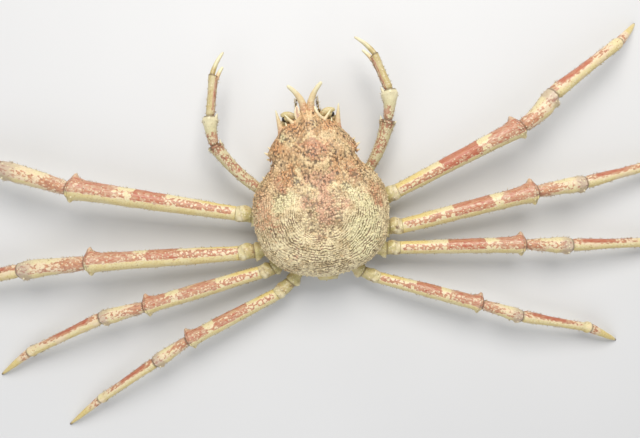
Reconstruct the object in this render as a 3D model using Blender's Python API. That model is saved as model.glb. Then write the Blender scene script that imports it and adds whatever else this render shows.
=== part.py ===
"""Japanese spider crab (Macrocheira kaempferi), a small one, as a life-size still model.

The crab faces -Y, its left side is +X, and the origin is on the floor under its belly.
Table values are millimetres and degrees; MM turns them into Blender's metres.
"""

import math
import random

import bmesh
import bpy
import numpy as np
from mathutils import Matrix, Vector

MM = 0.001
GAP = 0.3                      # clearance between two pieces that touch
SEED = 11

# Body
OBJECT_NAME = "japanese_spider_crab"
TOP_HEIGHT = 69.0              # middle of the back, before the swellings
MARGIN_HEIGHT = 36.0           # widest edge of the shell, at the sides and rear
FRONT_MARGIN_HEIGHT = 44.0     # the same edge at the snout
BELLY_HEIGHT = 5.0             # flat breastplate, above the folded abdomen
PARTING_HEIGHT = 30.0          # shell above, underbody below
BELLY_SHARE = 0.66             # breastplate outline as a share of the shell outline
SNOUT_LIMIT = 84.0             # the breastplate doesn't follow the shell further forward
BODY_COLUMNS = 72
BODY_ROWS = 18
FRONT_CROWDING = 0.5           # how strongly the columns gather at the snout
SOFTENING = 32                 # degrees either way over which the inner outline is averaged
HEAD_SHIFT = 1.9               # how far the head points to the animal's left
HEAD_NARROWING = 0.03          # and how much narrower it is than the mirrored outline
HEAD_START, HEAD_END = 30.0, 75.0    # distance before the middle over which both set in
DOME_FULLNESS = 2.6            # larger is flatter on top
DOME_ROUNDNESS = 0.55          # smaller is steeper at the edge
FLANK_SHARE = 0.68             # share of the underside that is flank, the rest is breastplate
FLANK_PULL = 0.8               # how soon the flank turns in, at the sides
SNOUT_PULL = 1.7               # added to it under the snout

# Half outline of the shell from above, (half width, y), snout to rear
OUTLINE = [
    (0.0, -105.5), (5.5, -104.5), (8.5, -98.0), (13.0, -91.0), (21.0, -87.5), (29.0, -84.5),
    (33.0, -78.0), (40.0, -70.0), (46.5, -60.5), (42.5, -51.5), (46.5, -43.0), (52.5, -37.0),
    (60.5, -28.0), (66.7, -17.0), (68.7, -5.0), (68.8, 10.0), (66.0, 27.0), (61.0, 42.0),
    (46.0, 57.0), (34.0, 63.0), (16.0, 68.0), (0.0, 70.0),
]

# Swellings and hollows of the back: x, y, radius, height; those off the middle are mirrored
REGIONS = [
    (0.0, -52.0, 15.0, 4.5),       # stomach dome
    (0.0, -80.0, 10.0, 2.5),       # brow, behind the snout
    (0.0, 6.0, 13.0, 4.0),         # heart region
    (0.0, 42.0, 12.0, 3.0),        # gut region
    (36.0, 4.0, 24.0, 5.0),        # gill chamber
    (34.0, -62.0, 11.0, 3.5),      # liver region
    (29.0, -42.0, 9.0, -4.5),      # neck groove, outer part
    (14.0, -30.0, 8.0, -2.5),      # neck groove, inner part
    (13.0, 22.0, 6.0, -2.5),       # groove beside the heart region
]

# Big spines of the shell: base x, y, z, tip x, y, z, base radius; all are mirrored
SHELL_SPINES = [
    (29.0, -80.0, 43.0, 32.5, -101.5, 50.0, 3.6),    # behind the eye
    (14.0, -87.0, 51.0, 22.5, -97.5, 49.0, 2.8),     # brow over the eye
    (8.5, -89.0, 51.0, 11.4, -101.0, 51.0, 2.2),     # blade beside the snout
    (22.0, -84.0, 45.0, 23.5, -90.5, 46.0, 1.8),     # short one inside the eye socket
    (43.0, -58.0, 41.0, 52.5, -62.5, 42.0, 2.6),     # liver region, three on the margin
    (44.5, -54.0, 38.0, 50.5, -55.0, 37.0, 2.0),
    (41.0, -63.0, 42.0, 47.0, -68.5, 44.0, 2.2),
    (50.0, -34.0, 39.0, 56.5, -39.0, 41.0, 2.2),     # front of the gill chamber
]
TUBERCLES_ON_BACK = 190
TUBERCLES_ON_MARGIN = 18       # along each side
TUBERCLE_RADIUS = 2.6          # at the sunk root
TUBERCLE_HEIGHT = 2.2          # above the shell
TUBERCLE_ROOT = 1.2            # below it
TUBERCLE_SIDES = 4

# The tail flap along the body's middle: y, underside z, half width, thickness, lean (degrees)
ABDOMEN = [
    (-37.0, 0.0, 3.0, 6.0, 0.0), (-32.0, 0.0, 6.0, 6.0, 0.0), (-12.0, 0.0, 12.0, 6.0, 0.0),
    (14.0, 0.0, 17.0, 6.0, 0.0), (38.0, 0.0, 18.0, 6.0, 0.0), (52.0, 2.0, 14.5, 7.0, 24.0),
    (63.0, 10.0, 13.0, 8.0, 50.0), (69.0, 19.0, 12.5, 8.0, 72.0), (71.5, 28.0, 11.0, 7.0, 84.0),
]
ABDOMEN_CHAMFER = 2.5
ABDOMEN_TEETH = [                # base, tip, base radius; they aren't a mirrored pair
    ((2.0, 67.0, 24.0), (2.0, 76.0, 25.0), 2.4),
    ((-8.5, 66.0, 24.0), (-9.0, 75.0, 25.0), 2.2),
]

# Mouth plates, horns, eyes on their stalks and feelers: start, end, bow, all with x outward,
# then the rings as (share of the length, width) and the height of a ring over its width
HEAD_PIECES = {
    "mouth_plate": ((8.0, -53.0, 7.0), (7.5, -83.0, 27.0), (0.0, 0.0, 0.0),
                    [(0.0, 11.0), (0.12, 15.0), (0.35, 17.5), (0.7, 17.0), (0.92, 14.0), (1.0, 9.0)],
                    0.55),
    "horn": ((4.05, -98.0, 49.0), (17.5, -121.5, 60.0), (-3.8, -1.2, -1.2),
             [(0.0, 7.6), (0.3, 7.4), (0.5, 6.4), (0.7, 5.2), (0.88, 3.8), (1.0, 1.8)],
             1.0),
    "eye": ((11.0, -86.5, 41.5), (27.5, -96.0, 39.5), (0.0, 0.0, 0.0),
            [(0.0, 4.0), (0.45, 4.4), (0.66, 5.2), (0.8, 6.8), (0.92, 5.8), (1.0, 2.6)],
            1.0),
    "antenna": ((11.5, -86.0, 35.0), (13.5, -116.0, 41.0), (0.0, 0.0, 0.0),
                [(0.0, 6.4), (0.3, 6.2), (0.48, 4.6), (0.56, 2.0), (1.0, 1.0)],
                1.0),
}

# Walking legs. root is the hip's centre inside the underbody: x outward, y, z.
# Each segment: length, sweep (degrees, 0 straight out to the side, + backwards), rise, and
# where it has one a bow, which pushes its middle towards the hind side.
# widths: hip, merus start, middle, end, carpus start, end, propodus start, middle, tip joint.
LEGS = {
    "leg_left_1": {
        "root": (54, 2, 20), "hip": (35, -11, 5), "merus": (170, -15, 15),
        "carpus": (72, -23, -4), "propodus": (108, -19, -19), "dactylus": (50, -24, -16),
        "widths": (17.5, 15.6, 20.0, 21.0, 16.0, 19.5, 16.0, 12.0, 12.5)},
    "leg_left_2": {
        "root": (56, 35, 20), "hip": (34, 3, 4), "merus": (155, -3, 10),
        "carpus": (70, 0, -4), "propodus": (100, 5, -14), "dactylus": (48, 12, -15),
        "widths": (16.5, 15.8, 19.0, 19.8, 15.4, 19.2, 14.5, 11.5, 12.0)},
    "leg_left_3": {
        "root": (45, 47, 20), "hip": (28, 26, 3, 2.5), "merus": (124, 10, 5),
        "carpus": (46, 8, 0), "propodus": (91, 19, -15), "dactylus": (46, 30, -12),
        "widths": (15.0, 14.2, 16.6, 16.6, 12.4, 16.0, 13.2, 10.8, 11.8)},
    "leg_left_4": {
        "root": (26, 57, 19), "hip": (40, 42, 3, 2.5), "merus": (103, 21, 5),
        "carpus": (40, 27, 0), "propodus": (76, 28, -13), "dactylus": (50, 33, -13),
        "widths": (13.5, 13.6, 15.6, 15.8, 11.4, 14.8, 11.4, 9.8, 10.6)},
    "leg_right_1": {
        "root": (54, 1, 20), "hip": (30, -20, 4), "merus": (140, -21, 16),
        "carpus": (44, -40, 2, 3.0), "propodus": (92, -31, -12), "dactylus": (52, -36, -29),
        "widths": (17.0, 15.2, 17.6, 19.0, 15.5, 19.5, 16.0, 12.8, 12.6)},
    "leg_right_2": {
        "root": (55, 25, 20), "hip": (28, 6, 3), "merus": (141, -8, 9),
        "carpus": (51, -4, -2), "propodus": (90, -8, -14), "dactylus": (46, -4, -15),
        "widths": (16.5, 16.0, 18.0, 19.0, 13.4, 16.8, 13.4, 10.4, 11.0)},
    "leg_right_3": {
        "root": (49, 47, 20), "hip": (29, 6, 2), "merus": (128, 5, 6),
        "carpus": (48, 7, -1), "propodus": (86, 5, -13), "dactylus": (44, 10, -13),
        "widths": (15.0, 13.8, 16.0, 17.2, 11.6, 17.0, 13.2, 10.4, 11.0)},
    "leg_right_4": {
        "root": (23, 57, 19), "hip": (37, 36, 3, 2.5), "merus": (109, 21, 5),
        "carpus": (43, 23, -1), "propodus": (78, 17, -12), "dactylus": (40, 31, -13),
        "widths": (13.5, 12.6, 15.0, 15.2, 10.8, 14.2, 12.6, 9.8, 12.6)},
}
LEG_SEGMENTS = ("hip", "merus", "carpus", "propodus", "dactylus")

# Claw arms, told in the same way; the palm's last value is its width at the fingers
CLAWS = {
    "claw_left": {
        "root": (48, -21, 22), "hip": (18, -28, 5), "merus": (60, -52, 11, 2.5),
        "carpus": (29, -89, 3, 1.2), "palm": (41, -101, -1), "finger": (28, -116, -6, 1.6),
        "widths": (12.0, 12.0, 13.2, 13.6, 11.0, 13.8, 9.4, 9.2, 10.6)},
    "claw_right": {
        "root": (46, -25, 22), "hip": (18, -50, 5), "merus": (49, -64, 11, 2.0),
        "carpus": (30, -82, 3, 1.2), "palm": (38, -107, -1), "finger": (29, -127, -6, 1.6),
        "widths": (12.0, 11.5, 13.4, 14.4, 11.0, 14.6, 9.6, 9.2, 10.6)},
}
CLAW_SEGMENTS = ("hip", "merus", "carpus", "palm", "finger")
FIXED_FINGER_LENGTH = 14.0     # from its root inside the palm
FIXED_FINGER_WIDTH = 3.8
FIXED_FINGER_OFFSET = 3.4      # towards the palm's inner side
FIXED_FINGER_SUNK = 3.0        # depth of its root in the palm
FIXED_FINGER_SPREAD = 0.41     # how far it leans away from the moving finger, per length
FINGER_OFFSET = 1.6            # the moving finger sits towards the outer side of the palm
FINGER_TIP_WIDTH = 1.2

TIP_WIDTH = 2.2                # end of a dactylus
HIP_SPINE_PLACE = 0.42         # along the hip, from its root
HIP_SPINE_REACH = 0.8          # from the hip's middle, in hip widths
MERUS_SPINES = {"fore": 0.68, "hind": 0.63, "top": 0.6}
CARPUS_SPINES = {"hind": 0.62}
RISE_OF_MIDDLE = {"propodus": 1.5, "dactylus": 2.2}
LIMB_SIDES = 10
SMALL_SIDES = 8
JOINT_BLEND = 0.18             # share of a segment over which its rings turn to the joint

COLOURS = {                    # base colour, roughness
    "shell": ((0.70, 0.42, 0.30), 0.55),
    "underside": ((0.78, 0.68, 0.46), 0.50),
    "horn": ((0.86, 0.76, 0.58), 0.40),
    "eye": ((0.01, 0.01, 0.012), 0.12),
    "antenna": ((0.45, 0.28, 0.14), 0.50),
    "leg": ((0.80, 0.66, 0.48), 0.42),
    "leg_red": ((0.66, 0.30, 0.20), 0.42),
    "dactylus": ((0.72, 0.50, 0.22), 0.35),
    "claw": ((0.82, 0.72, 0.50), 0.42),
}
SEGMENT_COLOURS = {
    "hip": "underside", "merus": "leg", "carpus": "leg_red", "propodus": "leg", "dactylus": "dactylus",
    "palm": "claw", "finger": "claw",
}


def clear_scene():
    """Removes the objects that a new Blender file starts with."""
    for old in list(bpy.data.objects):
        bpy.data.objects.remove(old, do_unlink=True)


def make_materials():
    """One Principled material for each colour of the animal."""
    made = {}
    for name, (colour, roughness) in COLOURS.items():
        material = bpy.data.materials.new(name)
        material.use_nodes = True
        shader = material.node_tree.nodes["Principled BSDF"]
        shader.inputs["Base Color"].default_value = (*colour, 1.0)
        shader.inputs["Roughness"].default_value = roughness
        shader.inputs["Metallic"].default_value = 0.0
        made[name] = material
    return made


def add_object(name, bm, collection, material=None):
    """Turns a bmesh into a named object, smooth but for its sharp edges."""
    mesh = bpy.data.meshes.new(name)
    bm.to_mesh(mesh)
    bm.free()
    mesh.shade_smooth()
    mesh.set_sharp_from_angle(angle=math.radians(40))
    made = bpy.data.objects.new(name, mesh)
    if material is not None:
        mesh.materials.append(material)
    collection.objects.link(made)
    return made


# The body's surface

def outline_radius(angle):
    """Distance from the body's axis to the shell's edge; angle 0 is the snout, pi the rear."""
    points = np.array(OUTLINE)
    angles = np.arctan2(points[:, 0], -points[:, 1])
    return float(np.interp(abs(angle), angles, np.hypot(points[:, 0], points[:, 1])))


def softened_radius(angle):
    """The same distance averaged over a wide angle, for the rounder forms near the middle."""
    around = [angle + math.radians(turn) for turn in range(-SOFTENING, SOFTENING + 1, 8)]
    folded = [math.pi - abs(math.pi - abs(turn)) for turn in around]
    return sum(outline_radius(turn) for turn in folded) / len(folded)


def margin_height(angle):
    """Height of the shell's edge, which climbs towards the snout."""
    forward = math.exp(-(angle / math.radians(38.0)) ** 2)
    return MARGIN_HEIGHT + (FRONT_MARGIN_HEIGHT - MARGIN_HEIGHT) * forward


def swelling(x, y):
    """Sum of the rounded swellings and hollows of the back at one place."""
    total = 0.0
    for cx, cy, radius, height in REGIONS:
        for side in (1.0, -1.0) if cx > 0.0 else (1.0,):
            total += height * math.exp(-((x - side * cx) ** 2 + (y - cy) ** 2) / radius ** 2)
    return total


def shell_point(angle, share):
    """Point of the back; share runs from 0 on the body's axis to 1 at the shell's edge."""
    soft = softened_radius(angle)
    reach = share * (soft + (outline_radius(angle) - soft) * share ** 3)
    x = math.sin(angle) * reach
    y = -math.cos(angle) * reach
    dome = (1.0 - share ** DOME_FULLNESS) ** DOME_ROUNDNESS
    edge = margin_height(angle)
    return Vector((x, y, edge + (TOP_HEIGHT - edge) * dome + swelling(x, y) * dome))


def underside_point(angle, share):
    """Point of the flank and breastplate; share 0 at the shell's edge, 1 under the middle."""
    outer = outline_radius(angle)
    inner = BELLY_SHARE * min(outer, SNOUT_LIMIT)
    edge = margin_height(angle)
    if share >= FLANK_SHARE:
        reach = inner * (1.0 - share) / (1.0 - FLANK_SHARE)
        height = BELLY_HEIGHT
    else:
        drop = share / FLANK_SHARE
        pull = FLANK_PULL + SNOUT_PULL * math.exp(-(angle / math.radians(30.0)) ** 2)
        reach = inner + (outer - inner) * max(0.0, math.cos(drop * math.pi / 2.0)) ** pull
        height = edge + (BELLY_HEIGHT - edge) * drop
    return Vector((math.sin(angle) * reach, -math.cos(angle) * reach, height))


def body_bmesh(grow=0.0):
    """The whole body: a UV sphere whose points are carried onto the crab's surface."""
    bm = bmesh.new()
    bmesh.ops.create_uvsphere(bm, u_segments=BODY_COLUMNS, v_segments=BODY_ROWS, radius=1.0)
    for vert in bm.verts:
        turn = math.atan2(vert.co.x, -vert.co.y)
        angle = turn - FRONT_CROWDING * math.sin(turn)
        tilt = math.acos(max(-1.0, min(1.0, vert.co.z)))
        if tilt <= math.pi / 2.0:
            place = shell_point(angle, min(1.0, math.sin(tilt)))
        else:
            place = underside_point(angle, tilt / (math.pi / 2.0) - 1.0)
        vert.co = place * MM
    bmesh.ops.triangulate(bm, faces=bm.faces[:])
    bmesh.ops.recalc_face_normals(bm, faces=bm.faces[:])
    if grow:
        bm.normal_update()
        for vert, push in [(v, v.normal.copy()) for v in bm.verts]:
            vert.co += push * grow * MM
    return bm


def keep_side(bm, height, above):
    """Cuts a closed mesh at a level plane and keeps one side of it, closed again."""
    cut = bmesh.ops.bisect_plane(
        bm, geom=bm.verts[:] + bm.edges[:] + bm.faces[:], dist=0.00001 * MM,
        plane_co=(0.0, 0.0, height * MM), plane_no=(0.0, 0.0, 1.0),
        clear_inner=above, clear_outer=not above)
    edges = [item for item in cut["geom_cut"] if isinstance(item, bmesh.types.BMEdge)]
    bmesh.ops.holes_fill(bm, edges=edges, sides=0)
    bmesh.ops.recalc_face_normals(bm, faces=bm.faces[:])


# Pieces that are fused or cut

def spine_bmesh(base, tip, radius, sides=TUBERCLE_SIDES, blunt=0.0):
    """A tapered spine from its sunk root to its tip, in millimetres."""
    base, tip = Vector(base), Vector(tip)
    axis = tip - base
    turn = Vector((0.0, 0.0, 1.0)).rotation_difference(axis).to_matrix().to_4x4()
    place = Matrix.Translation((base + tip) * 0.5 * MM) @ turn
    bm = bmesh.new()
    bmesh.ops.create_cone(
        bm, cap_ends=True, segments=sides, radius1=radius * MM, radius2=radius * blunt * MM,
        depth=axis.length * MM, matrix=place)
    return bm


def largest_surface(obj):
    """Keeps the largest closed surface of a mesh and drops loose scraps."""
    bm = bmesh.new()
    bm.from_mesh(obj.data)
    unseen = set(bm.verts)
    groups = []
    while unseen:
        stack = [unseen.pop()]
        group = []
        while stack:
            vert = stack.pop()
            group.append(vert)
            for edge in vert.link_edges:
                other = edge.other_vert(vert)
                if other in unseen:
                    unseen.remove(other)
                    stack.append(other)
        groups.append(group)
    groups.sort(key=len, reverse=True)
    for group in groups[1:]:
        bmesh.ops.delete(bm, geom=group, context="VERTS")
    bm.to_mesh(obj.data)
    bm.free()


def apply_boolean(target, operation, pieces, work, solver="EXACT"):
    """Joins or cuts closed meshes with one Boolean modifier, applied; the pieces are removed."""
    group = bpy.data.collections.new(target.name + "_pieces")
    work.children.link(group)
    for piece in pieces:
        for holder in list(piece.users_collection):
            holder.objects.unlink(piece)
        group.objects.link(piece)
    modifier = target.modifiers.new(operation.lower(), "BOOLEAN")
    modifier.operation = operation
    modifier.operand_type = "COLLECTION"
    modifier.collection = group
    modifier.solver = solver
    graph = bpy.context.evaluated_depsgraph_get()
    result = bpy.data.meshes.new_from_object(target.evaluated_get(graph))
    target.modifiers.clear()
    target.data = result
    for piece in pieces:
        bpy.data.objects.remove(piece, do_unlink=True)
    bpy.data.collections.remove(group)
    largest_surface(target)
    bm = bmesh.new()
    bm.from_mesh(target.data)
    bmesh.ops.dissolve_degenerate(bm, dist=0.002 * MM, edges=bm.edges[:])
    bmesh.ops.triangulate(bm, faces=bm.faces[:])
    bm.to_mesh(target.data)
    bm.free()
    target.data.set_sharp_from_angle(angle=math.radians(40))


def cut_from_body(pieces, work):
    """Trims each piece to the body's surface, leaving the small gap."""
    for piece in pieces:
        cutter = add_object(piece.name + "_cutter", body_bmesh(grow=GAP), work)
        apply_boolean(piece, "DIFFERENCE", [cutter], work)


# Limbs

def limb_joints(limb, segments, side):
    """Joint centres from the root to the tip, and the direction in which each joint faces.

    side is +1 on the animal's left and -1 on its right.
    """
    x, y, z = limb["root"]
    joints = [Vector((side * x, y, z))]
    for name in segments:
        length, sweep, rise = limb[name][:3]
        flat = math.sqrt(length ** 2 - rise ** 2)
        heading = math.radians(sweep)
        run = Vector((side * flat * math.cos(heading), flat * math.sin(heading), rise))
        joints.append(joints[-1] + run)
    runs = [(b - a).normalized() for a, b in zip(joints, joints[1:])]
    faces = [runs[0]]
    faces += [(a + b).normalized() for a, b in zip(runs, runs[1:])]
    faces.append(runs[-1])
    return joints, faces


def hind_and_up(direction, side=1.0):
    """The two directions square to a limb's own: towards its hind side, and upwards."""
    fore = direction.cross(Vector((0.0, 0.0, 1.0))).normalized() * side
    return -fore, (fore * side).cross(direction)


def turned(first, second, share):
    """Direction between two directions, eased at both ends."""
    eased = share * share * (3.0 - 2.0 * share)
    return first.lerp(second, eased).normalized()


def skin(bm, loops):
    """Closes a row of equal rings of points into one capped surface."""
    count = len(loops[0])
    for lower, upper in zip(loops, loops[1:]):
        for k in range(count):
            after = (k + 1) % count
            bm.faces.new((lower[k], lower[after], upper[after], upper[k]))
    bm.faces.new(loops[0][::-1])
    bm.faces.new(loops[-1])
    bmesh.ops.recalc_face_normals(bm, faces=bm.faces[:])


def loft_bmesh(start, end, rings, faces=(None, None), bow=(0.0, 0.0, 0.0), sides=LIMB_SIDES, flat=1.0):
    """A tapering piece skinned over rings, each given as (share of the length, width).

    The rings turn from the first joint's plane to the second's, and bow pushes the middle
    off the straight line by that much. flat is the height of a ring over its width.
    """
    start, end, bow = Vector(start), Vector(end), Vector(bow)
    length = (end - start).length
    run = (end - start) / length
    bm = bmesh.new()
    loops = []
    for share, width in rings:
        centre = start.lerp(end, share) + bow * 4.0 * share * (1.0 - share)
        facing = (run + bow * 4.0 * (1.0 - 2.0 * share) / length).normalized()
        if share < JOINT_BLEND:
            facing = turned(faces[0] or facing, facing, share / JOINT_BLEND)
        if share > 1.0 - JOINT_BLEND:
            facing = turned(faces[1] or facing, facing, (1.0 - share) / JOINT_BLEND)
        hind, up = hind_and_up(facing)
        loop = []
        for k in range(sides):
            turn = 2.0 * math.pi * (k + 0.5) / sides
            offset = hind * math.cos(turn) + up * math.sin(turn) * flat
            loop.append(bm.verts.new((centre + offset * width / 2.0) * MM))
        loops.append(loop)
    skin(bm, loops)
    return bm


def segment_rings(part, widths):
    """Rings of one segment, from the limb's nine widths; each segment is waisted at its joints."""
    hip, m0, m1, m2, c0, c1, p0, p1, tip = widths
    return {
        "hip": [(0.0, hip), (0.45, hip), (0.58, hip * 0.93), (0.66, m0 * 1.02), (0.86, m0 * 1.06),
                (1.0, m0 * 0.92)],
        "merus": [(0.0, m0 * 0.84), (0.035, m0), (0.3, (m0 + m1) / 2.0), (0.62, m1), (0.88, m2),
                  (0.965, m2 * 1.1), (1.0, m2 * 0.86)],
        "carpus": [(0.0, c0 * 0.86), (0.12, c0), (0.45, (c0 + c1) / 2.0), (0.85, c1), (1.0, c1 * 0.84)],
        "propodus": [(0.0, p0 * 0.86), (0.06, p0), (0.5, p1), (0.9, p1 * 0.97), (0.97, tip),
                     (1.0, tip * 0.88)],
        "dactylus": [(0.0, tip * 0.72), (0.05, tip * 0.8), (0.4, tip * 0.62), (0.72, tip * 0.42),
                     (0.9, tip * 0.27), (1.0, TIP_WIDTH)],
        "palm": [(0.0, p0 * 0.86), (0.1, p0), (0.55, p1), (0.88, tip * 0.96), (1.0, tip)],
        "finger": [(0.0, 5.6), (0.3, 5.2), (0.65, 3.8), (0.9, 2.2), (1.0, FINGER_TIP_WIDTH)],
    }[part]


def joint_spines(joint, facing, width, side, reaches):
    """Short blunt spines round the far end of a segment; reaches are in shares of its width."""
    hind, up = hind_and_up(facing, side)
    ways = {"fore": -hind, "hind": hind, "top": up}
    ring = joint - facing * width * 0.28
    made = []
    for name, reach in reaches.items():
        root = ring + ways[name] * width * 0.3
        tip = ring + ways[name] * width * reach + facing * width * 0.14
        made.append(spine_bmesh(root, tip, width * 0.16, blunt=0.35))
    return made


def hip_spines(limb, joints, side):
    """The blunt spine on the lower hind side of each walking leg's hip."""
    facing = (joints[1] - joints[0]).normalized()
    hind, up = hind_and_up(facing, side)
    out = (hind - up * 0.35).normalized()
    width = limb["widths"][0]
    middle = joints[0].lerp(joints[1], HIP_SPINE_PLACE)
    root = middle + out * width * 0.2
    return [spine_bmesh(root, middle + out * width * HIP_SPINE_REACH, width * 0.18, blunt=0.3)]


def fixed_finger(end, run, hind):
    """The short finger that doesn't move, on the palm's inner side beside the moving one."""
    root = end - hind * FIXED_FINGER_OFFSET - run * FIXED_FINGER_SUNK
    tip = root + (run - hind * FIXED_FINGER_SPREAD).normalized() * FIXED_FINGER_LENGTH
    rings = [(0.0, FIXED_FINGER_WIDTH), (0.5, FIXED_FINGER_WIDTH * 0.85), (1.0, FINGER_TIP_WIDTH)]
    return loft_bmesh(root, tip, rings, sides=SMALL_SIDES)


def make_limb(name, limb, segments, materials, parts, work):
    """A walking leg or claw arm, one object for each segment; returns its hip."""
    side = 1.0 if "left" in name else -1.0
    joints, faces = limb_joints(limb, segments, side)
    if segments is LEG_SEGMENTS:
        joints[-1].z = TIP_WIDTH * 0.3
    made = {}
    for k, part in enumerate(segments):
        run = (joints[k + 1] - joints[k]).normalized()
        hind, up = hind_and_up(run, side)
        start = joints[k] + faces[k] * GAP / 2.0
        end = joints[k + 1] - faces[k + 1] * GAP / 2.0
        bow = up * RISE_OF_MIDDLE.get(part, 0.0)
        if len(limb[part]) > 3:
            bow += hind * limb[part][3]
        ends = (faces[k], faces[k + 1])
        if part == "finger":
            start += hind * FINGER_OFFSET
            ends = (faces[k], None)
        sides = LIMB_SIDES if part in ("hip", "merus") else SMALL_SIDES
        bm = loft_bmesh(start, end, segment_rings(part, limb["widths"]), ends, bow, sides)
        if part == "dactylus":
            for vert in bm.verts:
                vert.co.z = max(vert.co.z, 0.0)
        made[part] = add_object(name + "_" + part, bm, parts, materials[SEGMENT_COLOURS[part]])
        spines = []
        if part == "hip" and segments is LEG_SEGMENTS:
            spines = hip_spines(limb, joints, side)
        elif part == "merus":
            spines = joint_spines(end, faces[k + 1], limb["widths"][3], side, MERUS_SPINES)
        elif part == "carpus":
            spines = joint_spines(end, faces[k + 1], limb["widths"][5], side, CARPUS_SPINES)
        elif part == "palm":
            spines = [fixed_finger(end, run, hind)]
        if spines:
            pieces = [add_object("spine_%d" % number, one, work) for number, one in enumerate(spines)]
            apply_boolean(made[part], "UNION", pieces, work)
    return made["hip"]


# The body's own pieces

def shell_normal(angle, share):
    """Outward direction of the back, from two small steps along it."""
    here = shell_point(angle, share)
    along = shell_point(angle, min(0.995, share + 0.01)) - here
    around = shell_point(angle + 0.01, share) - here
    normal = around.cross(along).normalized()
    return normal if normal.z > 0.0 else -normal


def tubercle(place, out, size):
    """One conical tubercle, its root sunk into the shell."""
    root = place - out * TUBERCLE_ROOT
    return spine_bmesh(root, place + out * TUBERCLE_HEIGHT * size, TUBERCLE_RADIUS * math.sqrt(size))


def tubercle_pieces(work):
    """Tubercles of the back, spread evenly by a sunflower spiral, then those of the margin."""
    draw = random.Random(SEED)
    golden = math.pi * (3.0 - math.sqrt(5.0))
    made = []
    for k in range(TUBERCLES_ON_BACK):
        share = math.sqrt((k + 0.5) / TUBERCLES_ON_BACK) * 0.95
        angle = (k * golden + draw.uniform(-0.05, 0.05) + math.pi) % (2.0 * math.pi) - math.pi
        out = (shell_normal(angle, share) + Vector((0.0, -0.15, 0.0))).normalized()
        made.append(tubercle(shell_point(angle, share), out, draw.uniform(0.75, 1.3)))
    for side in (-1.0, 1.0):
        for k in range(TUBERCLES_ON_MARGIN):
            turn = 60.0 + 108.0 * k / (TUBERCLES_ON_MARGIN - 1) + draw.uniform(-1.5, 1.5)
            angle = side * math.radians(turn)
            out = Vector((math.sin(angle), -math.cos(angle), draw.uniform(0.1, 0.5))).normalized()
            made.append(tubercle(shell_point(angle, 0.985), out, draw.uniform(0.8, 1.2)))
    return [add_object("tubercle_%d" % k, bm, work) for k, bm in enumerate(made)]


def shell_spine_pieces(work):
    """The named big spines, on both sides of the shell."""
    made = []
    for x0, y0, z0, x1, y1, z1, radius in SHELL_SPINES:
        for side in (-1.0, 1.0):
            bm = spine_bmesh((side * x0, y0, z0), (side * x1, y1, z1), radius, sides=6, blunt=0.15)
            made.append(add_object("shell_spine", bm, work))
    return made


def make_carapace(materials, parts, work):
    """The shell: upper part of the body with its spines and tubercles fused on."""
    bm = body_bmesh()
    keep_side(bm, PARTING_HEIGHT + GAP / 2.0, above=True)
    shell = add_object("carapace", bm, parts, materials["shell"])
    apply_boolean(shell, "UNION", shell_spine_pieces(work) + tubercle_pieces(work), work)


def make_thorax(materials, parts):
    """The flanks and breastplate below the parting line."""
    bm = body_bmesh()
    keep_side(bm, PARTING_HEIGHT - GAP / 2.0, above=False)
    add_object("thorax", bm, parts, materials["underside"])


def plate_bmesh(stations, chamfer):
    """A plate with a flat underside, skinned over eight-sided sections along the body's middle.

    Each station is (y, underside z, half width, thickness, lean), and lean tips the section
    back as the plate climbs, in degrees.
    """
    bm = bmesh.new()
    loops = []
    for y, z, half, thick, lean in stations:
        tip = math.radians(lean)
        inner, low, high = half - chamfer, chamfer * 0.6, thick - chamfer * 0.6
        section = [
            (inner, 0.0), (half, low), (half, high), (inner, thick),
            (-inner, thick), (-half, high), (-half, low), (-inner, 0.0)]
        places = [(x, y - h * math.sin(tip), z + h * math.cos(tip)) for x, h in section]
        loops.append([bm.verts.new(Vector(place) * MM) for place in places])
    skin(bm, loops)
    return bm


def make_abdomen(materials, parts, work):
    """The tail flap, folded flat under the breastplate and curling up behind the shell."""
    bm = plate_bmesh(ABDOMEN, ABDOMEN_CHAMFER)
    flap = add_object("abdomen", bm, parts, materials["underside"])
    pieces = []
    for base, tip, radius in ABDOMEN_TEETH:
        pieces.append(add_object("tooth", spine_bmesh(base, tip, radius, blunt=0.3), work))
    apply_boolean(flap, "UNION", pieces, work)
    return flap


def head_bmesh(kind, side):
    """One piece of HEAD_PIECES, on the left (+1) or the right (-1)."""
    start, end, bow, rings, flat = HEAD_PIECES[kind]
    places = [(side * x, y, z) for x, y, z in (start, end, bow)]
    return loft_bmesh(places[0], places[1], rings, bow=places[2], sides=SMALL_SIDES, flat=flat)


def make_mouthparts(materials, parts, work):
    """The two closed mouth plates that lie side by side on the slope under the snout."""
    mouth = add_object("mouthparts", head_bmesh("mouth_plate", 1.0), parts, materials["underside"])
    other = add_object("mouth_plate", head_bmesh("mouth_plate", -1.0), work)
    apply_boolean(mouth, "UNION", [other], work)
    return mouth


def make_head_pieces(materials, parts):
    """Horns, eyes on their stalks, and feelers, as tapered pieces rooted in the snout."""
    made = []
    for kind in ("horn", "eye", "antenna"):
        for name, side in (("left", 1.0), ("right", -1.0)):
            bm = head_bmesh(kind, side)
            made.append(add_object(kind + "_" + name, bm, parts, materials[kind]))
    return made


def lean_head(parts):
    """Moves the front of the body a little to its left; the claw arms and legs stay."""
    for piece in parts.objects:
        if piece.name.startswith(("claw", "leg")):
            continue
        bm = bmesh.new()
        bm.from_mesh(piece.data)
        bmesh.ops.triangulate(bm, faces=bm.faces)
        for vert in bm.verts:
            share = (-vert.co.y / MM - HEAD_START) / (HEAD_END - HEAD_START)
            share = min(1.0, max(0.0, share))
            share = share * share * (3.0 - 2.0 * share)
            vert.co.x += share * (HEAD_SHIFT * MM - HEAD_NARROWING * vert.co.x)
        bm.to_mesh(piece.data)
        bm.free()


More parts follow.
